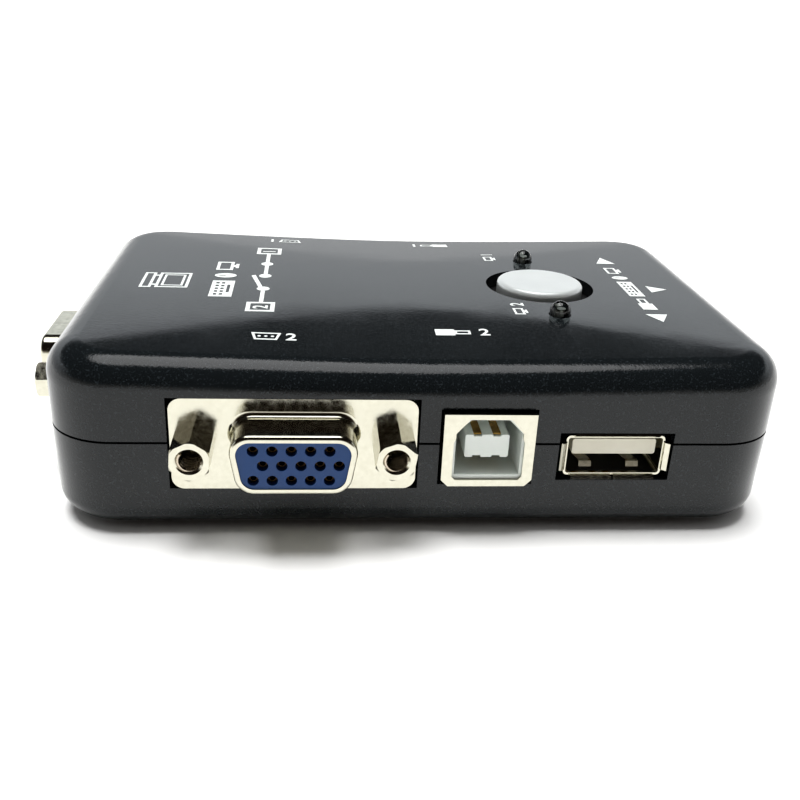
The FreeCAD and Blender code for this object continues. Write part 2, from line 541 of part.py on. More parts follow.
def usb_a_socket(side, port):
    """One USB-A socket: plated shell with flared lips, tongue with its rear block, and four contacts."""
    x, y, turn = port
    at = (x, y, "Dims.type_a_height")
    half_width, half_height = "Dims.type_a_width / 2", "Dims.type_a_tall / 2"
    front, back, skin = "Dims.type_a_recess", "Dims.type_a_depth", "Dims.type_a_skin"

    outside = prism("XZ_Plane", rectangle("Dims.type_a_width", "Dims.type_a_tall"), f"-{back}",
                    f"{back} - {front}")
    round_edges(outside, "0.6", runs_along(1))
    inside = prism("XZ_Plane", rectangle(f"Dims.type_a_width - 2 * {skin}", f"Dims.type_a_tall - 2 * {skin}"),
                   f"-{back} - 1", f"{back} + 2")
    round_edges(inside, "0.35", runs_along(1))

    def flare(edge, sign, reach):
        """The section of a lip: from the shell's wall forwards and outwards."""
        outer, inner = f"{sign}({edge})", f"{sign}({edge} - {skin})"
        return [(f"{front} + 0.5", inner), (f"{front} + 0.5", outer),
                (f"{front} - 0.1", f"{sign}({edge} + 0.3 * {reach})"),
                (f"{front} - 0.5", f"{sign}({edge} + {reach})"),
                (f"{front} - 0.7", f"{sign}({edge} + {reach} - 0.2)"),
                (f"{front} - 0.3", f"{sign}({edge} - 0.05)")]

    def across(section):
        """The same section drawn in the plan, for a lip at the side."""
        return [(offset, depth) for depth, offset in section]

    lips = [lip("x", flare(half_height, "", 0.45), ("-5.6", "11.2")),
            lip("x", flare(half_height, "-", 0.45), ("-5.6", "5.45")),
            lip("x", flare(half_height, "-", 0.45), ("0.15", "5.45")),
            lip("z", across(flare(half_width, "", 0.7)), ("-1.95", "3.9")),
            lip("z", across(flare(half_width, "-", 0.7)), ("-1.95", "3.9"))]
    springs = []
    for px in ("-3.2", "3.2"):
        spring = prism("YZ_Plane", [(f"{front} + 1.5", f"-{half_height} + {skin} - 0.05"),
                                    (f"{front} + 6.0", f"-{half_height} + {skin} - 0.05"),
                                    (f"{front} + 2.4", f"-{half_height} + {skin} + 0.8"),
                                    (f"{front} + 1.8", f"-{half_height} + {skin} + 0.8")],
                       f"{px} - 0.85", "1.7")
        springs.append(spring)
    pegs = [box(("0.6", "1.8", "6"), (f"{sign}(Dims.type_a_width / 2 - 0.3)", "10", f"-{half_height} - 5"))
            for sign in ("-", "")]
    sub_part(f"{side}_usb_a_shell", fuse(cut(outside, inside), *lips, *springs, *pegs), at, turn)

    tongue_bottom, tongue_height = "0.0", "2.15"
    tongue = prism("XZ_Plane", rectangle("11.1", tongue_height, f"({tongue_bottom} + {tongue_height} / 2)"),
                   f"-({back} - 2)", f"{back} - 2 - ({front} + 0.5)")
    round_edges(tongue, "0.3", runs_along(1))
    block = box((f"Dims.type_a_width - 2 * {skin} - 0.9", "4.5", f"Dims.type_a_tall - 2 * {skin} - 0.04"),
                ("0", f"{back} - 2.35", f"-{half_height} + {skin} + 0.02"))
    grooves = [box(("1.1", "40", "0.3"), (px, "21.5", tongue_bottom)) for px in TYPE_A_CONTACTS]
    sub_part(f"{side}_usb_a_tongue", cut(fuse(tongue, block), *grooves), at, turn)

    contacts = []
    for px in TYPE_A_CONTACTS:
        strip = box(("1.0", f"{back} - 1.0", "0.2"), (px, f"2.0 + ({back} - 1.0) / 2", f"{tongue_bottom} + 0.05"))
        drop = f"{tongue_bottom} - ({BOARD_BOTTOM} - Dims.type_a_height) + 1.2"
        tail = box(("0.6", "0.3", drop), (px, f"{back} + 0.85", f"{tongue_bottom} + 0.25 - ({drop})"))
        contacts.append(fuse(strip, tail))
    sub_part(f"{side}_usb_a_contacts", group(*contacts), at, turn)


TYPE_A_CONTACTS = ["-3.5", "-1.0", "1.0", "3.5"]


# ---------------------------------------------------------------- button and lights

def push_button():
    """The silver cap, the black plunger that carries it, and the tact switch under it."""
    cap_top = "Dims.case_top + Dims.cap_rise"
    cap_bottom = f"{ROOF_INSIDE} - Dims.slip"
    disc = cylinder("Dims.cap_radius", f"{cap_top} - ({cap_bottom})", ("Dims.button_x", "0", cap_bottom))
    doc.recompute()
    rim = doc.addObject("Part::Fillet", "CapRim")
    rim.Base = disc
    rim.Edges = [(number, 0.7, 0.7) for number, edge in enumerate(disc.Shape.Edges, start=1)
                 if lies_at(2, value(cap_top))(edge)]
    hollow = cylinder("Dims.cap_radius - 1.2", "Dims.cap_skirt - 0.7", ("Dims.button_x", "0", cap_bottom))
    sub_part("button_cap", cut(rim, hollow))

    flange = cylinder("Dims.plunger_flange", "1.0", ("Dims.button_x", "0", f"{cap_bottom} - 1.0"))
    hub = cylinder("Dims.cap_radius - 1.25", "Dims.cap_skirt - 0.8", ("Dims.button_x", "0", cap_bottom))
    stem = cylinder("2.2", f"{cap_bottom} - 1.0 - Dims.switch_stem_top + 0.2",
                    ("Dims.button_x", "0", "Dims.switch_stem_top"))
    ribs = [box(size, ("Dims.button_x", "0", f"{cap_bottom} - 4.0"))
            for size in (("14", "1.2", "3.2"), ("1.2", "14", "3.2"))]
    sub_part("button_plunger", fuse(flange, hub, stem, *ribs))

    switch_top = "Dims.board_top + Dims.switch_height"
    body = box(("Dims.switch_width", "Dims.switch_width", "Dims.switch_height - 0.3"),
               ("Dims.button_x", "0", "Dims.board_top"))
    well = cylinder("Dims.switch_stem + 0.1", "3", ("Dims.button_x", "0", f"{switch_top} - 1.3"))
    sub_part("tact_switch_body", cut(body, well))
    stem_hole = cylinder("Dims.switch_stem + 0.1", "3", ("Dims.button_x", "0", f"{switch_top} - 1"))
    cover = box(("Dims.switch_width", "Dims.switch_width", "0.3"), ("Dims.button_x", "0", f"{switch_top} - 0.3"))
    legs = [box(("0.3", "0.7", "Dims.switch_height + Dims.board_thickness + 1.0"),
                (f"Dims.button_x {sx} (Dims.switch_width / 2 + 0.15)", f"{sy}2.25", f"{BOARD_BOTTOM} - 1.0"))
            for sx in ("-", "+") for sy in ("-", "")]
    sub_part("tact_switch_frame", cut(fuse(cover, *legs), stem_hole))
    sub_part("tact_switch_stem", cylinder("Dims.switch_stem", f"Dims.switch_stem_top - ({switch_top}) + 0.6",
                                          ("Dims.button_x", "0", f"{switch_top} - 0.6")))


def indicator_lights():
    """The two clear domed lights, and their leads down to the board."""
    flange_top = f"{ROOF_INSIDE} - Dims.slip"
    leads = []
    for side, light_y in (("front", "-Dims.light_y"), ("back", "Dims.light_y")):
        dome_height = "Dims.case_top + Dims.light_rise - Dims.light_radius"
        dome = doc.addObject("Part::Sphere", "Dome")
        bind(dome, "Radius", "Dims.light_radius")
        place(dome, ("Dims.light_x", light_y, dome_height))
        flange = cylinder("Dims.light_flange", "1.0", ("Dims.light_x", light_y, f"{flange_top} - 1.0"))
        barrel = cylinder("Dims.light_radius", f"{dome_height} - ({flange_top}) + 0.5",
                          ("Dims.light_x", light_y, f"{flange_top} - 0.5"))
        sub_part(f"{side}_light", fuse(flange, barrel, dome))
        for shift in ("- 1.27", "+ 1.27"):
            lead_bottom = f"{BOARD_BOTTOM} - 1.2"
            leads.append(box(("0.5", "0.5", f"{flange_top} - 1.0 - ({lead_bottom})"),
                             (f"Dims.light_x {shift}", light_y, lead_bottom)))
    sub_part("light_leads", group(*leads))


# ---------------------------------------------------------------- board

def board_holes():
    """The holes in the board: screws, connector tails and pegs, switch legs and light leads."""
    start = f"{BOARD_BOTTOM} - 1"
    height = "Dims.board_thickness + 2"
    holes = [cylinder("Dims.screw_radius + 0.25", height, (x, y, start)) for x, y in SCREW_PLACES]

    def port_hole(port, radius, along, inward):
        """A hole given by its place along a port's wall and its distance in from the wall."""
        px, py, turn = port
        x, y = {0: (f"{px} + ({along})", f"{py} + ({inward})"), 180: (f"{px} - ({along})", f"{py} - ({inward})"),
                -90: (f"{px} + ({inward})", f"{py} - ({along})"),
                90: (f"{px} - ({inward})", f"{py} + ({along})")}[turn]
        return cylinder(radius, height, (x, y, start))

    for port in VGA_PORTS.values():
        for px, _, row_number in contact_places():
            inward = f"Dims.flange_thickness + Dims.housing_depth + {1.0 + 2.0 * row_number} - 0.45"
            holes.append(port_hole(port, "0.45", px, inward))
        holes += [port_hole(port, "1.2", f"{sign}Dims.jack_spacing / 2", "Dims.flange_thickness + 4.4")
                  for sign in ("-", "")]
    for port in TYPE_B_PORTS.values():
        holes += [port_hole(port, "1.15", f"{sign}(Dims.type_b_width / 2 - 0.4)", "9") for sign in ("-", "")]
        holes += [port_hole(port, "0.45", px, "16.3" if float(pz) > 0 else "15.8")
                  for px, pz in TYPE_B_CONTACTS]
    for port in TYPE_A_PORTS.values():
        holes += [port_hole(port, "1.0", f"{sign}(Dims.type_a_width / 2 - 0.3)", "10") for sign in ("-", "")]
        holes += [port_hole(port, "0.4", px, "Dims.type_a_depth + 0.85") for px in TYPE_A_CONTACTS]
    holes += [cylinder("0.45", height, (f"Dims.button_x {sx} (Dims.switch_width / 2 + 0.15)", f"{sy}2.25", start))
              for sx in ("-", "+") for sy in ("-", "")]
    holes += [cylinder("0.4", height, (f"Dims.light_x {shift}", f"{sign}Dims.light_y", start))
              for shift in ("- 1.27", "+ 1.27") for sign in ("-", "")]
    return holes


def board():
    """The circuit board and the loose components on it."""
    blank = prism("XY_Plane", rectangle("Dims.board_length", "Dims.board_depth"), BOARD_BOTTOM,
                  "Dims.board_thickness")
    round_edges(blank, "Dims.board_corner", runs_along(2))
    sub_part("circuit_board", cut(blank, *board_holes()))

    def chip(width, depth, at_x, at_y):
        """The moulded body of a surface-mounted chip."""
        return box((width, depth, "1.5"), (at_x, at_y, "Dims.board_top + 0.1"))

    def chip_legs(width, depth, at_x, at_y, count):
        """Two rows of gull-wing legs along a chip's long sides."""
        legs = []
        for number in range(count):
            leg_x = f"({at_x}) + {(number - (count - 1) / 2)} * 1.27"
            for sign in ("-", "+"):
                edge = f"({at_y}) {sign} (({depth}) / 2"
                shoulder = box(("0.4", "0.5", "0.2"), (leg_x, f"{edge} + 0.25)", "Dims.board_top + 0.7"))
                shin = box(("0.4", "0.2", "0.9"), (leg_x, f"{edge} + 0.6)", "Dims.board_top"))
                toe = box(("0.4", "0.6", "0.2"), (leg_x, f"{edge} + 0.8)", "Dims.board_top"))
                legs.append(fuse(shoulder, shin, toe))
        return legs

    sub_part("video_switch_chips", group(chip("9.9", "3.9", "-12", "7"), chip("9.9", "3.9", "-12", "-7")))
    sub_part("usb_switch_chip", chip("17.9", "7.5", "3", "0"))
    sub_part("chip_legs", group(*chip_legs("9.9", "3.9", "-12", "7", 8), *chip_legs("9.9", "3.9", "-12", "-7", 8),
                                *chip_legs("17.9", "7.5", "3", "0", 14)))
    can = prism("XY_Plane", rectangle("10.6", "4.2"), "Dims.board_top", "3.4")
    round_edges(can, "2.0", runs_along(2))
    sub_part("crystal", can, ("-1", "-11.5", "0"))
    cans = []
    for at_x, at_y in (("-26", "8"), ("-26", "-8"), ("37", "14")):
        cans.append(cut(cylinder("2.5", "7.0", (at_x, at_y, "Dims.board_top")),
                        box(("3.4", "0.3", "0.4"), (at_x, at_y, "Dims.board_top + 6.8")),
                        box(("0.3", "3.4", "0.4"), (at_x, at_y, "Dims.board_top + 6.8"))))
    sub_part("electrolytic_capacitors", group(*cans))
    chips = [box(("2.0", "1.25", "0.6"), (f"{-20 + 3.2 * number}", at_y, "Dims.board_top"))
             for number in range(10) for at_y in ("12.5", "-15.5")]
    sub_part("chip_passives", group(*chips))


def main():
    """Build every sub-part, check it and write it out."""
    top_shell()
    bottom_shell()
    case_hardware()
    for side, port in VGA_PORTS.items():
        vga_socket(side, port)
    for side, port in TYPE_B_PORTS.items():
        usb_b_socket(side, port)
    for side, port in TYPE_A_PORTS.items():
        usb_a_socket(side, port)
    push_button()
    indicator_lights()
    board()
    doc.recompute()

    failed = [item.Label for item in doc.Objects if {"Invalid", "Error"} & set(item.State)]
    if failed:
        raise RuntimeError(f"objects that did not compute: {failed}")
    os.makedirs("parts", exist_ok=True)
    for item in sub_parts:
        if item.Shape.isNull() or not item.Shape.isValid():
            raise RuntimeError(f"{item.Label} has no valid shape")
    for item in sub_parts:
        item.Shape.exportStep(f"parts/{item.Label}.step")
        print(item.Label, len(item.Shape.Solids), round(item.Shape.Volume, 2))


main()
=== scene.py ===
"""Looks for a small two-computer KVM switch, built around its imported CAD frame.

The frame gives the shapes. This script gives each node its finish, adds what a lathe, a mould or a
pad printer adds (screw threads, printed marks, lead frames inside the lights), and sets up a plain
studio. Everything is in metres in the frame's own axes: X runs towards the console sockets, minus Y
is the side with the second computer's ports, Z is up, and the feet stand on Z = 0.
"""

from __future__ import annotations

import logging
import math
from collections.abc import Iterable, Sequence
from dataclasses import dataclass
from enum import Enum
from typing import Any

import bmesh
import bpy
from mathutils import Matrix, Vector

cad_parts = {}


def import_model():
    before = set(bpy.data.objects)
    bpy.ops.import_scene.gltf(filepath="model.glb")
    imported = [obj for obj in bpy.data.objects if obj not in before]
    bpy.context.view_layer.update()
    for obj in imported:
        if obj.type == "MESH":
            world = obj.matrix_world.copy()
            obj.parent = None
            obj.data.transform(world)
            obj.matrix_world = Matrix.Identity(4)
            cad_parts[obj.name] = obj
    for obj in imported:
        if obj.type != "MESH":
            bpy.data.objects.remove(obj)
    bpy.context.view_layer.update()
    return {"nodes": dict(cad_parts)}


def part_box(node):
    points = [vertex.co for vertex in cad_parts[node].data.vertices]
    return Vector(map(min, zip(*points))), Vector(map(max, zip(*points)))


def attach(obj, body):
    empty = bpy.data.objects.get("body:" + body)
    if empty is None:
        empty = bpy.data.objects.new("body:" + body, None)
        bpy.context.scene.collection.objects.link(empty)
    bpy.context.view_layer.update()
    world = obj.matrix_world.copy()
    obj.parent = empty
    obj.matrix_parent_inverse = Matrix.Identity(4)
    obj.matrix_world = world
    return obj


LOG = logging.getLogger("kvm_switch")
MM = 0.001
# An outline is a closed loop of points in mm; a figure is an outline and the holes in it.
Outline = list[tuple[float, float]]
Figure = list[Outline]


# ---------------------------------------------------------------- node and mesh helpers


def linear(hex_colour: str) -> tuple[float, float, float, float]:
    """Turns an sRGB hex colour into linear RGBA.

    Args:
        hex_colour: Six hex digits after a hash sign.

    Returns:
        Red, green and blue in linear light, and an alpha of 1.
    """
    channels = [int(hex_colour[i : i + 2], 16) / 255 for i in (1, 3, 5)]
    red, green, blue = (c / 12.92 if c <= 0.04045 else ((c + 0.055) / 1.055) ** 2.4 for c in channels)
    return red, green, blue, 1.0


def pattern(size_mm: float) -> float:
    """Gives a texture's scale from the real size of its grain in mm."""
    return 1 / (size_mm * MM)


def add_node(
    tree: bpy.types.NodeTree, kind: str, sockets: dict[Any, Any] | None = None, **settings: Any
) -> bpy.types.Node:
    """Adds a node with its settings and its links.

    Args:
        tree: The node tree that gets the node.
        kind: The node's type name.
        sockets: Input name or number to a value, or to an output socket to link from.
        settings: Properties of the node itself.

    Returns:
        The new node.
    """
    node = tree.nodes.new(kind)
    for name, value in settings.items():
        setattr(node, name, value)
    for key, value in (sockets or {}).items():
        if isinstance(value, bpy.types.NodeSocket):
            tree.links.new(value, node.inputs[key])
        else:
            node.inputs[key].default_value = value
    return node


def geometry_tree(name: str, inputs: dict[str, str]) -> tuple[bpy.types.NodeTree, bpy.types.Node]:
    """Starts a Geometry Nodes tree with named inputs.

    Args:
        name: The tree's name.
        inputs: Input name to socket type, after the geometry.

    Returns:
        The tree and its input node.
    """
    tree = bpy.data.node_groups.new(name, "GeometryNodeTree")
    tree.interface.new_socket("Geometry", in_out="INPUT", socket_type="NodeSocketGeometry")
    for label, kind in inputs.items():
        tree.interface.new_socket(label, in_out="INPUT", socket_type=kind)
    tree.interface.new_socket("Geometry", in_out="OUTPUT", socket_type="NodeSocketGeometry")
    return tree, add_node(tree, "NodeGroupInput")


def close_tree(
    tree: bpy.types.NodeTree, geometry: bpy.types.NodeSocket, material: bpy.types.Material
) -> None:
    """Ends a Geometry Nodes tree in Realize Instances and Set Material.

    Args:
        tree: The tree to end.
        geometry: The output that holds the finished geometry.
        material: The finish that it gets.
    """
    real = add_node(tree, "GeometryNodeRealizeInstances", {"Geometry": geometry})
    sockets = {"Geometry": real.outputs[0], "Material": material}
    painted = add_node(tree, "GeometryNodeSetMaterial", sockets)
    add_node(tree, "NodeGroupOutput", {0: painted.outputs[0]})


def grow(
    tree: bpy.types.NodeTree, values: dict[str, Any], start: bpy.types.Mesh | None = None
) -> bpy.types.Mesh:
    """Runs a Geometry Nodes tree on a throwaway object and keeps the mesh.

    Args:
        tree: The finished tree.
        values: Input name to value; a modifier's input is set by its socket's identifier.
        start: The mesh that goes in, or none.

    Returns:
        The plain mesh that comes out.
    """
    carrier = bpy.data.objects.new(tree.name, start or bpy.data.meshes.new(tree.name))
    bpy.context.scene.collection.objects.link(carrier)
    modifier = carrier.modifiers.new(tree.name, "NODES")
    modifier.node_group = tree
    for item in tree.interface.items_tree:
        if item.in_out == "INPUT" and item.name in values:
            modifier[item.identifier] = values[item.name]
    evaluated = carrier.evaluated_get(bpy.context.evaluated_depsgraph_get())
    mesh = bpy.data.meshes.new_from_object(evaluated)
    carrier.modifiers.remove(modifier)
    bpy.data.objects.remove(carrier)
    return mesh


def settle(
    name: str, mesh: bpy.types.Mesh, body: str, material: bpy.types.Material | None = None
) -> bpy.types.Object:
    """Makes a piece of a finished mesh and lets it ride on its body.

    Args:
        name: The piece's name.
        mesh: Its mesh, already in place.
        body: The body it moves with.
        material: Its finish, where the mesh doesn't carry one yet.

    Returns:
        The piece, at the origin, unturned and unscaled.
    """
    mesh.name = name
    piece = bpy.data.objects.new(name, mesh)
    bpy.context.scene.collection.objects.link(piece)
    if material is not None:
        mesh.materials.clear()
        mesh.materials.append(material)
    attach(piece, body)
    LOG.info("%s: %d faces, rides on %s", name, len(mesh.polygons), body)
    return piece


def unpacked(name: str, shape: bmesh.types.BMesh) -> bpy.types.Mesh:
    """Turns a shape that is being edited into a plain mesh, and frees it.

    Args:
        name: The mesh's name.
        shape: The edited shape.

    Returns:
        The mesh.
    """
    mesh = bpy.data.meshes.new(name)
    shape.to_mesh(mesh)
    shape.free()
    return mesh


# ---------------------------------------------------------------- finishes


@dataclass(frozen=True)
class Finish:
    """A surface: what it is made of, and how it was made.

    Attributes:
        name: The material and process, in a maker's words.
        colour: The middle colour, sRGB hex.
        shade: The darker end of its slow variation, sRGB hex.
        rough: Roughness where the surface is cleanest.
        dull: Roughness where it is most handled or most uneven.
        metallic: 1 for bare metal.
        tone_mm: Size of the slow variation.
        grain_mm: Size of the surface grain.
        grain_depth_mm: Height of the grain.
        grain_strength: How much of the grain's height reaches the shading.
    """

    name: str
    colour: str
    shade: str
    rough: float
    dull: float
    metallic: float = 0.0
    tone_mm: float = 12.0
    grain_mm: float = 0.5
    grain_depth_mm: float = 0.01
    grain_strength: float = 0.5

    def extras(self) -> dict[str, Any]:
        """Gives the shader's fixed settings beyond colour and roughness."""
        return {}

    def relief(self, tree: bpy.types.NodeTree, place: bpy.types.NodeSocket) -> bpy.types.NodeSocket:
        """Makes the grain's height, which is soft and irregular unless a finish makes its own.

        Args:
            tree: The material's tree.
            place: Object coordinates.

        Returns:
            The height output.
        """
        sockets = {"Vector": place, "Scale": pattern(self.grain_mm), "Detail": 3.0}
        grain = add_node(tree, "ShaderNodeTexNoise", sockets)
        return grain.outputs["Fac"]

    def tint(
        self, tree: bpy.types.NodeTree, place: bpy.types.NodeSocket, colour: bpy.types.NodeSocket
    ) -> bpy.types.NodeSocket:
        """Adds fine colour to the slow variation; most finishes have none.

        Args:
            tree: The material's tree.
            place: Object coordinates.
            colour: The slow variation.

        Returns:
            The colour output.
        """
        return colour

    def build(self) -> bpy.types.Material:
        """Builds the material with its nodes."""
        material = bpy.data.materials.new(self.name)
        material.use_nodes = True
        tree = material.node_tree
        tree.nodes.clear()
        place = add_node(tree, "ShaderNodeTexCoord").outputs["Object"]
        sockets = {"Vector": place, "Scale": pattern(self.tone_mm), "Detail": 4.0}
        tone = add_node(tree, "ShaderNodeTexNoise", sockets).outputs["Fac"]
        sockets = {"Factor": tone, 6: linear(self.shade), 7: linear(self.colour)}
        colour = add_node(tree, "ShaderNodeMix", sockets, data_type="RGBA")
        sockets = {"Value": tone, "From Min": 0.3, "From Max": 0.7}
        sockets |= {"To Min": self.rough, "To Max": self.dull}
        rough = add_node(tree, "ShaderNodeMapRange", sockets)
        height = self.relief(tree, place)
        sockets = {"Height": height, "Strength": self.grain_strength}
        sockets["Distance"] = self.grain_depth_mm * MM
        bump = add_node(tree, "ShaderNodeBump", sockets)
        shader = add_node(
            tree,
            "ShaderNodeBsdfPrincipled",
            {
                "Base Color": self.tint(tree, place, colour.outputs[2]),
                "Roughness": rough.outputs["Result"],
                "Metallic": self.metallic,
                "Normal": bump.outputs["Normal"],
                **self.extras(),
            },
        )
        add_node(tree, "ShaderNodeOutputMaterial", {"Surface": shader.outputs["BSDF"]})
        return material


@dataclass(frozen=True)
class SparkErodedPlastic(Finish):
    """Plastic from a spark-eroded mould: a pebbled grain that breaks every highlight into specks.

    Attributes:
        painted_glint: Colour of the painted glints scattered over the grain, pale spots standing in for
            the light it catches, sRGB hex, or nothing.
    """

    painted_glint: str = ""

    def tint(
        self, tree: bpy.types.NodeTree, place: bpy.types.NodeSocket, colour: bpy.types.NodeSocket
    ) -> bpy.types.NodeSocket:
        """Scatters painted glints over the colour: pale spots on the grain's peaks, standing in for the
        light they catch.
        """
        if not self.painted_glint:
            return colour
        # The pale spots are painted glints: colour that stands in for light caught by the grain.
        sockets = {"Vector": place, "Scale": pattern(self.grain_mm), "Detail": 1.0}
        spots = add_node(tree, "ShaderNodeTexNoise", sockets).outputs["Fac"]
        painted_glint_mask = add_node(tree, "ShaderNodeMapRange", {"Value": spots, "From Min": 0.58, "From Max": 0.76})
        sockets = {"Factor": painted_glint_mask.outputs[0], 6: colour, 7: linear(self.painted_glint)}
        mixed = add_node(tree, "ShaderNodeMix", sockets, data_type="RGBA")
        return mixed.outputs[2]

    def relief(self, tree: bpy.types.NodeTree, place: bpy.types.NodeSocket) -> bpy.types.NodeSocket:
        """Makes pebbles with a finer grit on them."""
        sockets = {"Vector": place, "Scale": pattern(self.grain_mm)}
        pebble = add_node(tree, "ShaderNodeTexVoronoi", sockets, feature="SMOOTH_F1").outputs["Distance"]
        sockets = {"Vector": place, "Scale": 2.2 * pattern(self.grain_mm), "Detail": 2.0}
        grit = add_node(tree, "ShaderNodeTexNoise", sockets).outputs["Fac"]
        height = add_node(tree, "ShaderNodeMath", {0: grit, 1: 0.7, 2: pebble}, operation="MULTIPLY_ADD")
        return height.outputs[0]

    def extras(self) -> dict[str, Any]:
        """Gives the plastic's index of refraction, with a weaker sheen, as the grain traps light."""
        return {"IOR": 1.53, "Specular IOR Level": 0.36}


@dataclass(frozen=True)
class GlossPlastic(Finish):
    """Plastic from a polished mould: a clear sheen over a slightly soft body colour."""

    def extras(self) -> dict[str, Any]:
        """Gives the polymer's index of refraction, with a slightly weaker sheen head-on."""
        return {"IOR": 1.55, "Specular IOR Level": 0.35}


@dataclass(frozen=True)
class PlatedMetal(Finish):
    """Plated metal or bare sheet: sharp reflections that swim a little where it isn't flat."""

    def relief(self, tree: bpy.types.NodeTree, place: bpy.types.NodeSocket) -> bpy.types.NodeSocket:
        """Makes the sheet's slow swim under the plating's fine grain."""
        sockets = {"Vector": place, "Scale": pattern(6 * self.grain_mm), "Detail": 1.0}
        swim = add_node(tree, "ShaderNodeTexNoise", sockets).outputs["Fac"]
        sockets = {"Vector": place, "Scale": pattern(self.grain_mm), "Detail": 3.0}
        grain = add_node(tree, "ShaderNodeTexNoise", sockets)
        height = add_node(
            tree, "ShaderNodeMath", {0: grain.outputs["Fac"], 1: 0.12, 2: swim}, operation="MULTIPLY_ADD"
        )
        return height.outputs[0]


@dataclass(frozen=True)
class SprayedMetallic(Finish):
    """Metallic lacquer: tiny flakes under a clear coat, so the cap glints instead of mirroring."""

    def extras(self) -> dict[str, Any]:
        """Gives the lacquer's clear coat and index of refraction."""
        return {"Coat Weight": 0.35, "Coat Roughness": 0.22, "IOR": 1.5}


@dataclass(frozen=True)
class CastEpoxy(Finish):
    """Water-clear cast epoxy: it bends what is behind it and holds one sharp glint."""

    def extras(self) -> dict[str, Any]:
        """Gives the epoxy's clearness and index of refraction."""
        return {"Transmission Weight": 1.0, "IOR": 1.54}


class Look(Enum):
    """The finishes of this object, each named for its material and process; the contacts' also for its
    painted shade.
    """

    # A pebbled black that goes grey at a low angle and sparkles along its rounded edges, with pale
    # painted glints scattered over its grain. Its grain is drawn coarser than real, so that it shows.
    BLACK_ABS = SparkErodedPlastic(
        "spark_eroded_black_abs", "#191d1f", "#15181a", 0.11, 0.15, tone_mm=18, grain_mm=0.28,
        grain_depth_mm=0.009, grain_strength=0.9, painted_glint="#2d3235",
    )
    # Warm silver with near-black reflections; the sheet's swim keeps the edges of reflections uneven.
    NICKEL = PlatedMetal(
        "bright_nickel_plated_steel", "#d2d0c2", "#bbb8a8", 0.09, 0.22, metallic=1.0, tone_mm=0.7,
        grain_mm=0.2, grain_depth_mm=0.012, grain_strength=0.7,
    )
    # A deep clear blue with soft highlights round each contact hole.
    BLUE_PBT = GlossPlastic(
        "moulded_blue_pbt", "#164175", "#123868", 0.36, 0.46, tone_mm=3, grain_mm=0.3,
        grain_depth_mm=0.004,
    )
    # Cool white, satin where the mould was blasted.
    WHITE_PBT = GlossPlastic(
        "moulded_white_pbt", "#e6ebe6", "#d9dfda", 0.32, 0.45, tone_mm=3, grain_mm=0.3,
        grain_depth_mm=0.004,
    )
    # Ageing ivory of the sockets' tongues.
    IVORY_PBT = GlossPlastic(
        "moulded_ivory_pbt", "#dcdacb", "#cbc6b6", 0.32, 0.45, tone_mm=3, grain_mm=0.3,
        grain_depth_mm=0.004,
    )
    # Thin gold over nickel: yellow, a little brown in the shade.
    GOLD_FLASH = PlatedMetal(
        "gold_flashed_phosphor_bronze", "#d9b26a", "#b98f4c", 0.18, 0.3, metallic=1.0, tone_mm=1.5,
        grain_mm=0.2, grain_depth_mm=0.004,
    )
    # Brown bronze, drawn dark as painted shade for its deep hole, so it hardly glints.
    BRONZE = PlatedMetal(
        "pressed_phosphor_bronze", "#5c4a34", "#463725", 0.35, 0.5, metallic=1.0, tone_mm=1.5,
        grain_mm=0.2, grain_depth_mm=0.004,
    )
    # Pale silver that stays bright from every side, with a fine metallic glint.
    SILVER_LACQUER = SprayedMetallic(
        "sprayed_silver_lacquer", "#dbdfde", "#c6cac9", 0.36, 0.44, metallic=0.4, tone_mm=5,
        grain_mm=0.12, grain_depth_mm=0.004, grain_strength=0.6,
    )
    # Dull black that shows only its edges.
    BLACK_NYLON = SparkErodedPlastic(
        "moulded_black_nylon", "#1a1a1b", "#141415", 0.5, 0.62, tone_mm=4, grain_mm=0.25,
        grain_depth_mm=0.01,
    )
    # Soft black with no glint.
    RUBBER = SparkErodedPlastic(
        "moulded_black_rubber", "#1b1b1c", "#141415", 0.7, 0.85, tone_mm=4, grain_mm=0.4,
        grain_depth_mm=0.02,
    )
    # A tapped bore: brownish steel, drawn darker than the plating round it as painted shade for the deep
    # bore, with a thin glint on each crest.
    TAPPED_STEEL = PlatedMetal(
        "tapped_steel_thread", "#c9bfb0", "#a89d8c", 0.16, 0.28, metallic=1.0, tone_mm=1.0,
        grain_mm=0.15, grain_depth_mm=0.004,
    )
    # Bluish grey screw plating with a satin break-up.
    ZINC = PlatedMetal(
        "zinc_plated_steel", "#a9adb0", "#8f9498", 0.28, 0.42, metallic=1.0, tone_mm=1.5, grain_mm=0.2,
        grain_depth_mm=0.006,
    )
    # Grey-white dipped leads, a little dull.
    TINNED = PlatedMetal(
        "hot_dipped_tin", "#c3c3bd", "#a9a9a4", 0.3, 0.45, metallic=1.0, tone_mm=1.2, grain_mm=0.2,
        grain_depth_mm=0.006,
    )
    # A clear dome, greyed a little by its own thickness, with a sharp glint over a dark well.
    CLEAR_EPOXY = CastEpoxy(
        "cast_clear_epoxy", "#b4bab9", "#a9b0af", 0.02, 0.05, tone_mm=2, grain_mm=0.8,
        grain_depth_mm=0.001, grain_strength=0.2,
    )
    # Glossy green lacquer over glass cloth.
    SOLDER_MASK = GlossPlastic(
        "screened_green_solder_mask", "#1d5a38", "#16492d", 0.3, 0.42, tone_mm=4, grain_mm=0.6,
        grain_depth_mm=0.01,
    )
    # Matt black moulding compound, faintly speckled.
    CHIP_EPOXY = SparkErodedPlastic(
        "moulded_chip_epoxy", "#222224", "#1a1a1b", 0.55, 0.68, tone_mm=1.5, grain_mm=0.12,
        grain_depth_mm=0.006,
    )
    # Satin drawn aluminium.
    ALUMINIUM = PlatedMetal(
        "drawn_aluminium", "#c9cacb", "#b4b6b8", 0.26, 0.38, metallic=1.0, tone_mm=2, grain_mm=0.15,
        grain_depth_mm=0.004,
    )
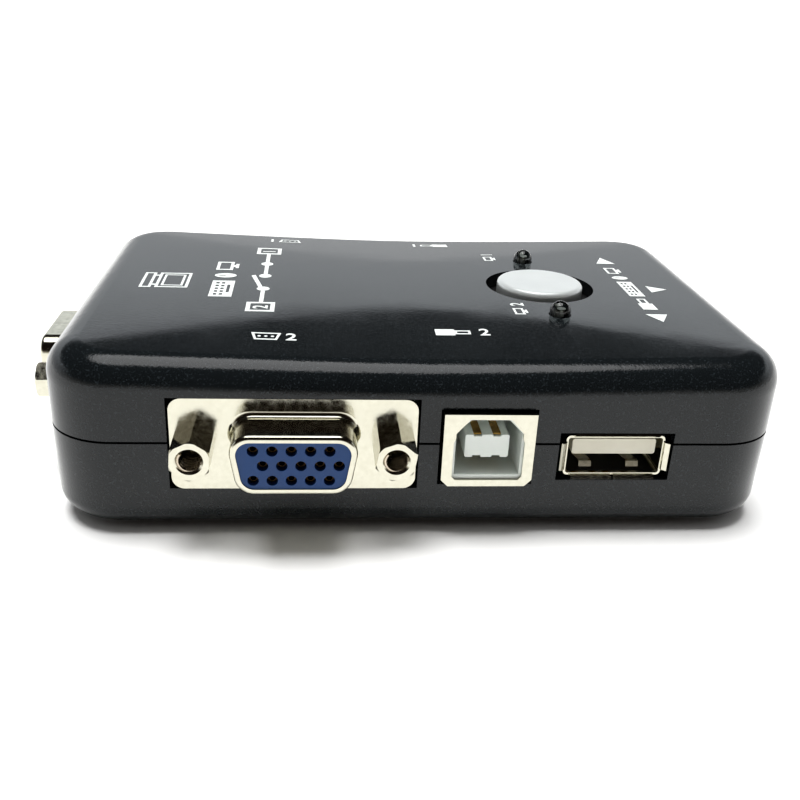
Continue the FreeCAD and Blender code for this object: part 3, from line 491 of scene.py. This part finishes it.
    # Tan fired ceramic, dry and matt.
    CERAMIC = SparkErodedPlastic(
        "fired_ceramic", "#b79a78", "#a08462", 0.5, 0.62, tone_mm=1, grain_mm=0.1, grain_depth_mm=0.004,
    )
    # Opaque white ink that lies on the grain and loses a little of it.
    WHITE_INK = SparkErodedPlastic(
        "pad_printed_white_ink", "#e4e8e6", "#cdd2d0", 0.45, 0.55, tone_mm=0.8, grain_mm=0.34,
        grain_depth_mm=0.012, grain_strength=0.4,
    )
    # Matt white card under the object.
    PAPER = SparkErodedPlastic(
        "matt_white_card", "#fbfbfa", "#f8f8f7", 0.85, 0.95, tone_mm=60, grain_mm=1.5,
        grain_depth_mm=0.01, grain_strength=0.1,
    )

    def material(self) -> bpy.types.Material:
        """Returns the finish's material, built the first time it is asked for."""
        return bpy.data.materials.get(self.value.name) or self.value.build()


# ---------------------------------------------------------------- groups of pieces, and the case


@dataclass
class Group:
    """Pieces that belong together.

    Attributes:
        nodes: The frame's nodes by name.
    """

    nodes: dict[str, bpy.types.Object]

    def dress(self, looks: dict[str, Look]) -> None:
        """Gives CAD nodes their finishes.

        Args:
            looks: Node name to finish.
        """
        for name, look in looks.items():
            material = look.material()
            for slot in self.nodes[name].material_slots:
                slot.material = material
            LOG.info("%s: dressed in %s", name, material.name)


class Case(Group):
    """The two shells, the feet and the screws."""

    def finish(self) -> None:
        """Dresses the case."""
        looks = {
            "top_shell": Look.BLACK_ABS,
            "bottom_shell": Look.BLACK_ABS,
            "rubber_feet": Look.RUBBER,
            "case_screws": Look.ZINC,
        }
        self.dress(looks)


# ---------------------------------------------------------------- printed marks


class Reading(Enum):
    """Which way a printed mark reads, as its turn about Z in degrees."""

    FRONT = 0
    SIDE = 90
    BACK = 180
    MONITOR = 270


def rectangle(x: float, y: float, width: float, height: float) -> Outline:
    """Gives a rectangle's outline from its lower left corner, in mm."""
    return [(x, y), (x + width, y), (x + width, y + height), (x, y + height)]


def oval(x: float, y: float, width: float, height: float, sides: int = 28) -> Outline:
    """Gives an oval's outline round its middle, in mm.

    Args:
        x: Middle, across.
        y: Middle, up.
        width: Whole width.
        height: Whole height.
        sides: Number of points.

    Returns:
        The outline.
    """
    turns = (2 * math.pi * i / sides for i in range(sides))
    return [(x + width / 2 * math.cos(a), y + height / 2 * math.sin(a)) for a in turns]


def ring(x: float, y: float, width: float, height: float, line: float) -> Figure:
    """Gives a rectangular ring as an outline and its hole, in mm.

    Args:
        x: Left edge.
        y: Lower edge.
        width: Outside width.
        height: Outside height.
        line: Width of the drawn line.

    Returns:
        The figure.
    """
    hole = rectangle(x + line, y + line, width - 2 * line, height - 2 * line)
    return [rectangle(x, y, width, height), hole]


def shifted(figures: Iterable[Figure], x: float, y: float) -> list[Figure]:
    """Moves figures.

    Args:
        figures: The figures.
        x: Distance across in mm.
        y: Distance up in mm.

    Returns:
        The moved figures.
    """
    return [[[(px + x, py + y) for px, py in outline] for outline in figure] for figure in figures]


def monitor_sign(height: float, line: float) -> list[Figure]:
    """Draws a screen on a foot.

    Args:
        height: Whole height in mm.
        line: Width of the drawn line in mm.

    Returns:
        The figures, from the lower left corner.
    """
    width, screen = height * 1.3, height * 0.76
    return [
        ring(0, height - screen, width, screen, line),
        [rectangle(width / 2 - line, line, 2 * line, height - screen - line)],
        [rectangle(width * 0.24, 0, width * 0.52, line)],
    ]


def keyboard_sign(width: float, height: float) -> list[Figure]:
    """Draws a keyboard: a solid block with its keys left open.

    Args:
        width: Whole width in mm.
        height: Whole height in mm.

    Returns:
        The figures, from the lower left corner.
    """
    keys, edge = 5, height * 0.14
    pitch = (width - 2 * edge) / keys
    space_bar = rectangle(width * 0.26, height * 0.16, width * 0.48, height * 0.14)
    block = [rectangle(0, 0, width, height), space_bar]
    for row in (0.42, 0.67):
        starts = (edge + (i + 0.22) * pitch for i in range(keys))
        block += [rectangle(x, height * row, pitch * 0.56, height * 0.15) for x in starts]
    return [block]


def mouse_sign(height: float) -> list[Figure]:
    """Draws a mouse: a solid oval with its wheel left open.

    Args:
        height: Whole height in mm.

    Returns:
        The figures, from the lower left corner.
    """
    width = height * 0.68
    wheel = rectangle(width * 0.42, height * 0.5, width * 0.16, height * 0.3)
    return [[oval(width / 2, height / 2, width, height), wheel]]


def plug_sign(width: float, height: float, line: float) -> list[Figure]:
    """Draws a flat plug: a solid grip and a hollow end.

    Args:
        width: Whole width in mm.
        height: Whole height in mm.
        line: Width of the drawn line in mm.

    Returns:
        The figures, from the lower left corner.
    """
    grip, end = width * 0.55, height * 0.62
    return [[rectangle(0, 0, grip, height)], ring(grip, (height - end) / 2, width - grip, end, line)]


def screen_port_sign(width: float, height: float, line: float) -> list[Figure]:
    """Draws a tapered socket with a row of contacts.

    Args:
        width: Whole width in mm.
        height: Whole height in mm.
        line: Width of the drawn line in mm.

    Returns:
        The figures, from the lower left corner.
    """
    slant = height * 0.22
    outer = [(slant, 0), (width - slant, 0), (width, height), (0, height)]
    inner = [
        (slant + line * 0.8, line),
        (width - slant - line * 0.8, line),
        (width - 1.3 * line, height - line),
        (1.3 * line, height - line),
    ]
    dots = [[oval(width * (0.28 + 0.22 * i), height / 2, line * 1.4, line * 1.4, 12)] for i in range(3)]
    return [[outer, inner], *dots]


def mesh_of(curve: bpy.types.Curve) -> bpy.types.Mesh:
    """Turns a curve or text into a plain mesh.

    Args:
        curve: The curve's data.

    Returns:
        Its filled mesh.
    """
    carrier = bpy.data.objects.new(curve.name, curve)
    bpy.context.scene.collection.objects.link(carrier)
    mesh = bpy.data.meshes.new_from_object(carrier.evaluated_get(bpy.context.evaluated_depsgraph_get()))
    bpy.data.objects.remove(carrier)
    return mesh


def filled(figure: Figure) -> bpy.types.Mesh:
    """Fills one figure.

    Args:
        figure: An outline, and the holes in it, in mm.

    Returns:
        A flat mesh in metres.
    """
    curve = bpy.data.curves.new("figure", "CURVE")
    curve.dimensions = "2D"
    curve.fill_mode = "BOTH"
    for outline in figure:
        spline = curve.splines.new("POLY")
        spline.points.add(len(outline) - 1)
        for point, (x, y) in zip(spline.points, outline):
            point.co = (x * MM, y * MM, 0, 1)
        spline.use_cyclic_u = True
    return mesh_of(curve)


@dataclass(frozen=True)
class Mark:
    """One printed mark: flat figures and a place on the roof.

    Attributes:
        figures: Closed figures in mm.
        at: Where the mark's origin goes on the roof, in mm.
        reading: Which way it reads.
        digit: A digit to print as well, or nothing.
        digit_height: The digit's height in mm.
        digit_at: The digit's lower left corner in the mark, in mm.
    """

    figures: list[Figure]
    at: tuple[float, float]
    reading: Reading
    digit: str = ""
    digit_height: float = 2.0
    digit_at: tuple[float, float] = (0.0, 0.0)

    def digit_mesh(self) -> bpy.types.Mesh:
        """Makes the digit's flat mesh at its size and place in the mark."""
        text = bpy.data.curves.new("digit", "FONT")
        text.body = self.digit
        text.offset = 0.02
        mesh = mesh_of(text)
        low = Vector((min(v.co.x for v in mesh.vertices), min(v.co.y for v in mesh.vertices), 0))
        scale = self.digit_height * MM / (max(v.co.y for v in mesh.vertices) - low.y)
        corner = Vector((self.digit_at[0] * MM, self.digit_at[1] * MM, 0))
        for vertex in mesh.vertices:
            vertex.co = (vertex.co - low) * scale + corner
        return mesh

    def add_to(self, sheet: bmesh.types.BMesh) -> None:
        """Turns the mark to its reading direction and adds it to the sheet of marks.

        Args:
            sheet: The flat mesh of the marks so far.
        """
        flat = bmesh.new()
        for figure in self.figures:
            flat.from_mesh(filled(figure))
        if self.digit:
            flat.from_mesh(self.digit_mesh())
        place = Matrix.Translation((self.at[0] * MM, self.at[1] * MM, 0))
        flat.transform(place @ Matrix.Rotation(math.radians(self.reading.value), 4, "Z"))
        sheet.from_mesh(unpacked("mark", flat))


@dataclass
class RoofPrint(Group):
    """The pad-printed marks on the roof, laid on it by a ray from above.

    Attributes:
        film_mm: Thickness of the ink.
        bold_mm: Width of a bold printed line.
        fine_mm: Width of a fine printed line.
        above_mm: Height that the rays start from.
    """

    film_mm: float = 0.03
    bold_mm: float = 0.6
    fine_mm: float = 0.32
    above_mm: float = 60.0

    def title(self) -> list[Mark]:
        """Draws the two lines beside the button: the shared devices, and the switch itself."""
        devices = [
            *keyboard_sign(7.6, 3.3),
            *shifted(mouse_sign(3.3), 9.2, 0),
            *shifted(monitor_sign(3.4, self.bold_mm * 0.8), 13.2, 0),
        ]
        bold, middle, box = self.bold_mm, 2.0, 4.0
        wires = [(4.0, 9.6), (17.4, 22.2), (24.0, 28.8)]
        switch = [
            ring(0, 0, box, box, bold),
            *([rectangle(start, middle - bold / 2, end - start, bold)] for start, end in wires),
            *([oval(x, middle, 1.9, 1.9)] for x in (10.2, 16.6, 23.1)),
            [[(10.3, middle + 0.6), (10.5, middle), (17.0, middle + 1.5), (16.7, middle + 2.1)]],
            ring(28.8, 0, box, box, bold),
        ]
        corner = (-19.85, -14.2)
        return [
            Mark(devices, (-26.2, -8.0), Reading.SIDE),
            Mark(switch, corner, Reading.SIDE, "2", 2.1, (1.2, 0.95)),
            Mark([], corner, Reading.SIDE, "1", 2.1, (30.3, 0.95)),
        ]

    def screen(self) -> list[Mark]:
        """Draws the screen sign by the monitor's socket: a framed screen on a flat base."""
        figures = [
            ring(0, 0, 7.2, 1.7, 0.4),
            [rectangle(1.1, 1.7, 0.5, 0.55)],
            [rectangle(5.6, 1.7, 0.5, 0.55)],
            ring(0, 2.25, 7.2, 4.75, 0.42),
            ring(0.9, 3.05, 5.4, 3.15, 0.34),
        ]
        return [Mark(figures, (-39.9, 3.1), Reading.MONITOR)]

    def console(self) -> list[Mark]:
        """Draws the plug, the keyboard and the mouse between the console arrows."""
        devices = [
            *plug_sign(5.0, 2.2, self.fine_mm),
            *shifted(keyboard_sign(7.4, 2.4), 6.2, -0.1),
            *shifted(mouse_sign(2.6), 14.8, -0.2),
            *shifted(monitor_sign(2.5, self.fine_mm * 1.2), 18.0, -0.15),
        ]
        return [Mark(devices, (35.9, -10.8), Reading.SIDE)]

    def lights(self) -> list[Mark]:
        """Draws a screen and a digit beside each light."""
        sign = monitor_sign(2.0, self.fine_mm)
        return [
            Mark(sign, (16.1, -13.7), Reading.SIDE, "2", 2.0, (3.7, 0.0)),
            Mark(sign, (16.1, 13.4), Reading.SIDE, "1", 2.0, (4.0, 0.0)),
        ]

    def ports(self) -> list[Mark]:
        """Draws a sign and a digit over each pair of ports, front and back."""
        socket, plug = screen_port_sign(3.9, 2.2, self.fine_mm), plug_sign(4.8, 2.0, self.fine_mm)
        return [
            Mark(socket, (-22.5, -24.0), Reading.FRONT, "2", 2.2, (4.5, 0.0)),
            Mark(plug, (1.9, -21.2), Reading.FRONT, "2", 2.2, (6.0, 0.0)),
            Mark(socket, (-16.7, 26.2), Reading.BACK, "1", 2.2, (4.8, 0.0)),
            Mark(plug, (9.2, 26.0), Reading.BACK, "1", 2.2, (5.7, 0.0)),
        ]

    def arrows(self) -> list[Mark]:
        """Draws the three arrows that point at the console sockets."""
        back: Outline = [(33.2, 13.0), (36.4, 13.0), (34.8, 16.7)]
        front: Outline = [(33.3, -12.9), (34.9, -16.1), (36.5, -12.9)]
        side: Outline = [(37.7, -2.5), (40.6, -0.9), (37.7, 0.7)]
        return [Mark([[back], [front], [side]], (0.0, 0.0), Reading.FRONT)]

    def laying(self) -> bpy.types.NodeTree:
        """Builds the tree that drops flat marks on the roof and gives them the ink's thickness."""
        inputs = {"Roof": "NodeSocketObject", "Film": "NodeSocketFloat", "Above": "NodeSocketFloat"}
        tree, start = geometry_tree("lay_on_roof", inputs)
        sockets = {"Mesh": start.outputs["Geometry"], "Level": 2}
        fine = add_node(tree, "GeometryNodeSubdivideMesh", sockets)
        roof = add_node(
            tree, "GeometryNodeObjectInfo", {"Object": start.outputs["Roof"]}, transform_space="RELATIVE"
        )
        spot = add_node(tree, "GeometryNodeInputPosition")
        lift = add_node(tree, "ShaderNodeCombineXYZ", {"Z": start.outputs["Above"]})
        above = add_node(
            tree, "ShaderNodeVectorMath", {0: spot.outputs[0], 1: lift.outputs[0]}, operation="ADD"
        )
        sockets = {"Target Geometry": roof.outputs["Geometry"], "Source Position": above.outputs[0]}
        sockets |= {"Ray Direction": (0, 0, -1), "Ray Length": 1.0}
        ray = add_node(tree, "GeometryNodeRaycast", sockets)
        sockets = {"Geometry": fine.outputs[0], "Selection": ray.outputs["Is Hit"]}
        sockets["Position"] = ray.outputs["Hit Position"]
        laid = add_node(tree, "GeometryNodeSetPosition", sockets)
        upwards = add_node(tree, "ShaderNodeCombineXYZ", {"Z": 1.0})
        sockets = {"Mesh": laid.outputs[0], "Offset": upwards.outputs[0], "Individual": False}
        sockets["Offset Scale"] = start.outputs["Film"]
        top = add_node(tree, "GeometryNodeExtrudeMesh", sockets)
        underside = add_node(tree, "GeometryNodeFlipFaces", {"Mesh": laid.outputs[0]})
        both = add_node(tree, "GeometryNodeJoinGeometry", {0: underside.outputs[0]})
        tree.links.new(top.outputs["Mesh"], both.inputs[0])
        sockets = {"Geometry": both.outputs[0], "Distance": 0.002 * MM}
        closed = add_node(tree, "GeometryNodeMergeByDistance", sockets)
        close_tree(tree, closed.outputs[0], Look.WHITE_INK.material())
        return tree

    def build(self) -> None:
        """Prints every group of marks as one piece each."""
        tree = self.laying()
        groups = {
            "roof_print_title": self.title(),
            "roof_print_screen": self.screen(),
            "roof_print_console": self.console(),
            "roof_print_lights": self.lights(),
            "roof_print_ports": self.ports(),
            "roof_print_arrows": self.arrows(),
        }
        inputs = {"Roof": self.nodes["top_shell"]}
        inputs |= {"Film": self.film_mm * MM, "Above": self.above_mm * MM}
        for name, marks in groups.items():
            flat = bmesh.new()
            for mark in marks:
                mark.add_to(flat)
            bmesh.ops.triangulate(flat, faces=flat.faces)
            upside_down = [face for face in flat.faces if face.normal.z < 0]
            bmesh.ops.reverse_faces(flat, faces=upside_down)
            settle(name, grow(tree, inputs, unpacked(name, flat)), "case")


# ---------------------------------------------------------------- ports


class Wall(Enum):
    """The wall that a port is in, as the port's turn about Z in degrees."""

    FRONT = 0
    CONSOLE = 90
    BACK = 180
    MONITOR = 270


@dataclass
class VgaPort(Group):
    """A fifteen-way screen socket with its pair of jackscrews.

    Attributes:
        name: Start of its nodes' names.
        wall: The wall it is in.
        pitch_mm: Pitch of the jackscrews' thread.
        bore_mm: Radius of the thread's root.
        crest_mm: Radius of the thread's crest, which stands out more than a real one, to show.
        depth_mm: Length of the threaded bore.
        spread_mm: Distance between the two jackscrews.
        lead_in_mm: Plain length of bore before the thread starts.
    """

    name: str
    wall: Wall
    pitch_mm: float = 0.635
    bore_mm: float = 1.43
    crest_mm: float = 1.16
    depth_mm: float = 4.2
    spread_mm: float = 24.99
    lead_in_mm: float = 0.25

    def finish(self) -> None:
        """Dresses the socket."""
        looks = {
            "shell": Look.NICKEL,
            "insulator": Look.BLUE_PBT,
            # The contacts' dark bronze is painted shade for their deep holes.
            "contacts": Look.BRONZE,
            "bracket": Look.NICKEL,
            "jackscrews": Look.NICKEL,
        }
        self.dress({f"{self.name}_vga_{part}": look for part, look in looks.items()})

    def thread_tree(self) -> bpy.types.NodeTree:
        """Builds the tree that winds a ridge round a bore and puts one at each of two points."""
        inputs = dict.fromkeys(("Bore", "Ridge", "Turns", "Depth"), "NodeSocketFloat")
        inputs |= dict.fromkeys(("First", "Second"), "NodeSocketVector")
        tree, start = geometry_tree(f"{self.name}_thread", inputs)
        sockets = {"Resolution": 28}
        sockets |= {"Rotations": start.outputs["Turns"], "Height": start.outputs["Depth"]}
        sockets |= dict.fromkeys(("Start Radius", "End Radius"), start.outputs["Bore"])
        wire = add_node(tree, "GeometryNodeCurveSpiral", sockets)
        level = add_node(tree, "GeometryNodeSetCurveNormal", {"Curve": wire.outputs[0]}, mode="Z_UP")
        sockets = {"Resolution": 3, "Radius": start.outputs["Ridge"]}
        section = add_node(tree, "GeometryNodeCurvePrimitiveCircle", sockets)
        sockets = {"Curve": level.outputs[0], "Profile Curve": section.outputs[0], "Fill Caps": True}
        ridge = add_node(tree, "GeometryNodeCurveToMesh", sockets)
        sockets = {"Count": 2}
        sockets |= {"Start Location": start.outputs["First"], "Offset": start.outputs["Second"]}
        ends = add_node(tree, "GeometryNodeMeshLine", sockets, mode="END_POINTS")
        sockets = {"Points": ends.outputs[0], "Instance": ridge.outputs[0]}
        both = add_node(tree, "GeometryNodeInstanceOnPoints", sockets)
        # The thread's darker, browner steel is painted shade for the deep bore.
        close_tree(tree, both.outputs[0], Look.TAPPED_STEEL.material())
        return tree

    def build(self) -> None:
        """Winds the ridge of a thread in each jackscrew's bore."""
        low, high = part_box(f"{self.name}_vga_jackscrews")
        spread = self.spread_mm / 2 * MM
        middle = (low + high) / 2
        mouth = {Wall.FRONT: low.y, Wall.BACK: high.y, Wall.MONITOR: low.x}[self.wall]
        values = {
            "Bore": self.bore_mm * MM,
            "Ridge": (self.bore_mm - self.crest_mm) * MM,
            "Turns": self.depth_mm / self.pitch_mm,
            "Depth": self.depth_mm * MM,
            "First": (-spread, 0, 0),
            "Second": (spread, 0, 0),
        }
        mesh = grow(self.thread_tree(), values)
        # The spiral climbs Z: it is laid along the port's axis, mouth outwards, then turned to its wall.
        lay = Matrix.Rotation(math.radians(90), 4, "X")
        turn = Matrix.Rotation(math.radians(self.wall.value), 4, "Z")
        inset = Matrix.Translation((0, (self.depth_mm + self.lead_in_mm) * MM, 0))
        if self.wall is Wall.MONITOR:
            place = Matrix.Translation((mouth, middle.y, middle.z))
        else:
            place = Matrix.Translation((middle.x, mouth, middle.z))
        mesh.transform(place @ turn @ inset @ lay)
        settle(f"{self.name}_vga_threads", mesh, "case")


@dataclass
class UsbPort(Group):
    """A square device socket or a flat host socket.

    Attributes:
        name: Start of its nodes' names.
        looks: Part name to finish.
        wall: The wall it is in.
        film_mm: Thickness of the black sheet of painted shade that darkens a flat socket's inside.
        painted_shade_sheet_start_mm: How far behind the tongue's face the sheet of painted shade starts.
        painted_shade_sheet_length_mm: The sheet's length into the socket.
    """

    name: str
    looks: dict[str, Look]
    wall: Wall
    film_mm: float = 0.06
    painted_shade_sheet_start_mm: float = 0.1
    painted_shade_sheet_length_mm: float = 6.5

    def finish(self) -> None:
        """Dresses the socket."""
        self.dress({f"{self.name}_{part}": look for part, look in self.looks.items()})

    def line(self) -> None:
        """Lays a black sheet of painted shade on the inside of a flat socket, level with the tongue's
        underside.
        """
        low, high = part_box(f"{self.name}_tongue")
        middle = (low + high) / 2
        across = (high.y - low.y) if self.wall is Wall.CONSOLE else (high.x - low.x)
        face = {Wall.FRONT: low.y, Wall.BACK: high.y, Wall.CONSOLE: high.x}[self.wall]
        # The black sheet is painted shade: it darkens the socket's inside, where only shade falls.
        film = bmesh.new()
        sheet = bmesh.ops.create_cube(film, size=1.0)["verts"]
        size = Matrix.Diagonal((across, self.painted_shade_sheet_length_mm * MM, self.film_mm * MM, 1))
        place = Matrix.Translation((0, self.painted_shade_sheet_start_mm * MM + self.painted_shade_sheet_length_mm * MM / 2, 0))
        turn = Matrix.Rotation(math.radians(self.wall.value), 4, "Z")
        base = Vector((middle.x, face, low.z + self.film_mm / 2 * MM))
        if self.wall is Wall.CONSOLE:
            base.xy = face, middle.y
        bmesh.ops.transform(film, matrix=Matrix.Translation(base) @ turn @ place @ size, verts=sheet)
        bmesh.ops.bevel(film, geom=film.edges[:], offset=0.02 * MM, segments=1, affect="EDGES")
        black = Look.BLACK_NYLON.material()
        settle(f"{self.name}_film", unpacked("film", film), "case", black)


# ---------------------------------------------------------------- button, lights and board


class SelectButton(Group):
    """The round button and the switch under it."""

    def finish(self) -> None:
        """Dresses the button and its switch."""
        looks = {
            "button_cap": Look.SILVER_LACQUER,
            "button_plunger": Look.BLACK_NYLON,
            "tact_switch_body": Look.BLACK_NYLON,
            "tact_switch_stem": Look.BLACK_NYLON,
            "tact_switch_frame": Look.TINNED,
        }
        self.dress(looks)


@dataclass
class IndicatorLight(Group):
    """A clear 3 mm light with its lead frame cast inside.

    Attributes:
        name: Its node's name.
        post_mm: Width of the thin post.
        anvil_mm: Width of the wide post that holds the cup.
        plate_mm: Thickness of the lead frame's strip.
        foot_mm: How far above the dome's underside the posts start.
        cup_mm: Lower radius, upper radius and height of the cup.
    """

    name: str
    post_mm: float = 0.45
    anvil_mm: float = 1.05
    plate_mm: float = 0.4
    foot_mm: float = 0.3
    cup_mm: tuple[float, float, float] = (0.28, 0.5, 0.4)

    def build(self) -> None:
        """Casts the lead frame: a cup on a wide anvil, and a thin post beside it."""
        self.dress({self.name: Look.CLEAR_EPOXY})
        low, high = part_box(self.name)
        x, y, top = (low.x + high.x) / 2, (low.y + high.y) / 2, high.z
        foot = low.z + self.foot_mm * MM
        metal = bmesh.new()
        # Across from the middle, width, and how far below the dome's top each post ends, in mm.
        anvil, post = (-0.35, self.anvil_mm, 1.45), (0.72, self.post_mm, 1.3)
        for across, width, below in (anvil, post):
            box = bmesh.ops.create_cube(metal, size=1.0)["verts"]
            tall = top - below * MM - foot
            size = Matrix.Diagonal((self.plate_mm * MM, width * MM, tall, 1))
            place = Matrix.Translation((x, y + across * MM, foot + tall / 2))
            bmesh.ops.transform(metal, matrix=place @ size, verts=box)
        lower, upper, depth = (size * MM for size in self.cup_mm)
        cup = bmesh.ops.create_cone(
            metal, cap_ends=True, segments=24, radius1=lower, radius2=upper, depth=depth
        )["verts"]
        place = Matrix.Translation((x, y + anvil[0] * MM, top - post[2] * MM))
        bmesh.ops.transform(metal, matrix=place, verts=cup)
        bmesh.ops.bevel(metal, geom=metal.edges[:], offset=0.04 * MM, segments=2, affect="EDGES")
        tinned = Look.TINNED.material()
        settle(f"{self.name}_lead_frame", unpacked("lead_frame", metal), "case", tinned)


class Board(Group):
    """The circuit board and what is soldered to it, all inside the case."""

    def finish(self) -> None:
        """Dresses the board."""
        looks = {
            "circuit_board": Look.SOLDER_MASK,
            "video_switch_chips": Look.CHIP_EPOXY,
            "usb_switch_chip": Look.CHIP_EPOXY,
            "chip_legs": Look.TINNED,
            "crystal": Look.TINNED,
            "electrolytic_capacitors": Look.ALUMINIUM,
            "chip_passives": Look.CERAMIC,
            "light_leads": Look.TINNED,
        }
        self.dress(looks)


# ---------------------------------------------------------------- studio


@dataclass
class Studio:
    """A white card floor, a bright sweep behind, soft lights overhead and the camera.

    Attributes:
        eye_mm: The camera's place.
        pitch: How far it looks down, in radians.
        yaw: How far it looks to the left, in radians, negative to the right.
        roll: How far it leans, in radians.
        lens_mm: Focal length on a 36 mm wide sensor.
        floor_mm: Width of the card.
        sweep: The light behind the object: sine of the elevation, colour and level.
        room: The same for the dim room before it.
    """

    eye_mm: tuple[float, float, float] = (-14.31, -138.24, 67.34)
    pitch: float = 0.4238
    yaw: float = -0.1004
    roll: float = 0.0482
    lens_mm: float = 42.3
    floor_mm: float = 20000.0
    sweep: tuple[tuple[float, str, float], ...] = (
        (0.0, "#ffffff", 1.1),
        (0.12, "#fbfdff", 0.8),
        (0.25, "#f4f8fb", 0.84),
        (0.345, "#f2f7fb", 1.2),
        (0.405, "#8d7f74", 0.08),
        (1.0, "#6f6459", 0.05),
    )
    room: tuple[tuple[float, str, float], ...] = (
        (0.0, "#ffffff", 1.1),
        (0.1, "#e8e2da", 0.7),
        (0.24, "#6b5a4c", 0.16),
        (1.0, "#5f5348", 0.06),
    )

    def camera(self) -> None:
        """Makes the camera from its place and its three turns."""
        yaw = Matrix.Rotation(self.yaw, 3, "Z")
        forward = yaw @ Vector((0, math.cos(self.pitch), -math.sin(self.pitch)))
        up = yaw @ Vector((0, math.sin(self.pitch), math.cos(self.pitch)))
        right = yaw @ Vector((1, 0, 0))
        lean_right = right * math.cos(self.roll) + up * math.sin(self.roll)
        lean_up = up * math.cos(self.roll) - right * math.sin(self.roll)
        data = bpy.data.cameras.new("camera")
        data.lens, data.sensor_width = self.lens_mm, 36.0
        data.clip_start, data.clip_end = 0.005, 50.0
        camera = bpy.data.objects.new("camera", data)
        turn = Matrix((lean_right, lean_up, -forward)).transposed().to_4x4()
        camera.matrix_world = Matrix.Translation(Vector(self.eye_mm) * MM) @ turn
        bpy.context.scene.collection.objects.link(camera)
        bpy.context.scene.camera = camera

    def world(self) -> None:
        """Makes the surroundings: a bright sweep behind the object and a dim, warm room before it."""
        world = bpy.data.worlds.new("studio")
        bpy.context.scene.world = world
        world.use_nodes = True
        tree = world.node_tree
        tree.nodes.clear()
        direction = add_node(tree, "ShaderNodeTexCoord").outputs["Generated"]
        axes = add_node(tree, "ShaderNodeSeparateXYZ", {0: direction})
        ramps = []
        for levels in (self.room, self.sweep):
            ramp = add_node(tree, "ShaderNodeValToRGB", {0: axes.outputs["Z"]})
            stops = ramp.color_ramp.elements
            while len(stops) < len(levels):
                stops.new(1.0)
            for stop, (place, colour, level) in zip(stops, levels):
                stop.position = place
                stop.color = tuple(c * level for c in linear(colour)[:3]) + (1.0,)
            ramps.append(ramp.outputs[0])
        sockets = {"Value": axes.outputs["Y"], "From Min": -0.3, "From Max": 0.2}
        behind = add_node(tree, "ShaderNodeMapRange", sockets)
        sockets = {"Factor": behind.outputs[0], 6: ramps[0], 7: ramps[1]}
        both = add_node(tree, "ShaderNodeMix", sockets, data_type="RGBA")
        background = add_node(tree, "ShaderNodeBackground", {"Color": both.outputs[2], "Strength": 1.0})
        add_node(tree, "ShaderNodeOutputWorld", {"Surface": background.outputs[0]})

    def light(
        self, name: str, toward: Sequence[float], spread: float, strength: float, mirrored: bool
    ) -> None:
        """Hangs one soft light far away.

        Args:
            name: The light's name.
            toward: The direction that its light travels.
            spread: How wide it looks from the object, in degrees.
            strength: Its strength.
            mirrored: Whether gloss shows it.
        """
        data = bpy.data.lights.new(name, "SUN")
        data.angle, data.energy = math.radians(spread), strength
        lamp = bpy.data.objects.new(name, data)
        lamp.rotation_euler = Vector(toward).to_track_quat("-Z", "Y").to_euler()
        lamp.visible_glossy = mirrored
        bpy.context.scene.collection.objects.link(lamp)

    def floor(self) -> None:
        """Lays the white card under the object."""
        half = self.floor_mm / 2 * MM
        mesh = bpy.data.meshes.new("floor")
        corners = [(-half, -half, 0), (half, -half, 0), (half, half, 0), (-half, half, 0)]
        mesh.from_pydata(corners, [], [(0, 1, 2, 3)])
        mesh.materials.append(Look.PAPER.material())
        card = bpy.data.objects.new("floor", mesh)
        bpy.context.scene.collection.objects.link(card)

    def build(self) -> None:
        """Sets the whole studio up."""
        self.camera()
        self.world()
        self.floor()
        self.light("overhead_softbox", (0.1, -0.1, -1.0), spread=36.0, strength=2.5, mirrored=False)
        self.light("ceiling_bounce", (0.0, -0.05, -1.0), spread=100.0, strength=0.75, mirrored=False)
        self.light("glint", (0.05, -0.17, -1.0), spread=44.0, strength=1.4, mirrored=True)
        bpy.context.scene.view_settings.view_transform = "Standard"
        bpy.context.scene.view_settings.look = "Medium High Contrast"


def main() -> None:
    """Builds the looks in order."""
    logging.basicConfig(level=logging.INFO, format="%(name)s: %(message)s")
    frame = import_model()
    nodes = frame["nodes"]
    Case(nodes).finish()
    RoofPrint(nodes).build()
    for name, wall in (("front", Wall.FRONT), ("back", Wall.BACK), ("monitor", Wall.MONITOR)):
        port = VgaPort(nodes, name, wall)
        port.finish()
        port.build()
    for name in ("front", "back"):
        looks = {"shell": Look.NICKEL, "insulator": Look.WHITE_PBT, "contacts": Look.GOLD_FLASH}
        UsbPort(nodes, f"{name}_usb_b", looks, Wall[name.upper()]).finish()
    for name in ("front", "back", "console"):
        looks = {"shell": Look.NICKEL, "tongue": Look.IVORY_PBT, "contacts": Look.GOLD_FLASH}
        port = UsbPort(nodes, f"{name}_usb_a", looks, Wall[name.upper()])
        port.finish()
        # Each flat socket gets a black sheet of painted shade inside.
        port.line()
    SelectButton(nodes).finish()
    for name in ("front_light", "back_light"):
        IndicatorLight(nodes, name).build()
    Board(nodes).finish()
    Studio().build()


if __name__ == "__main__":
    main()
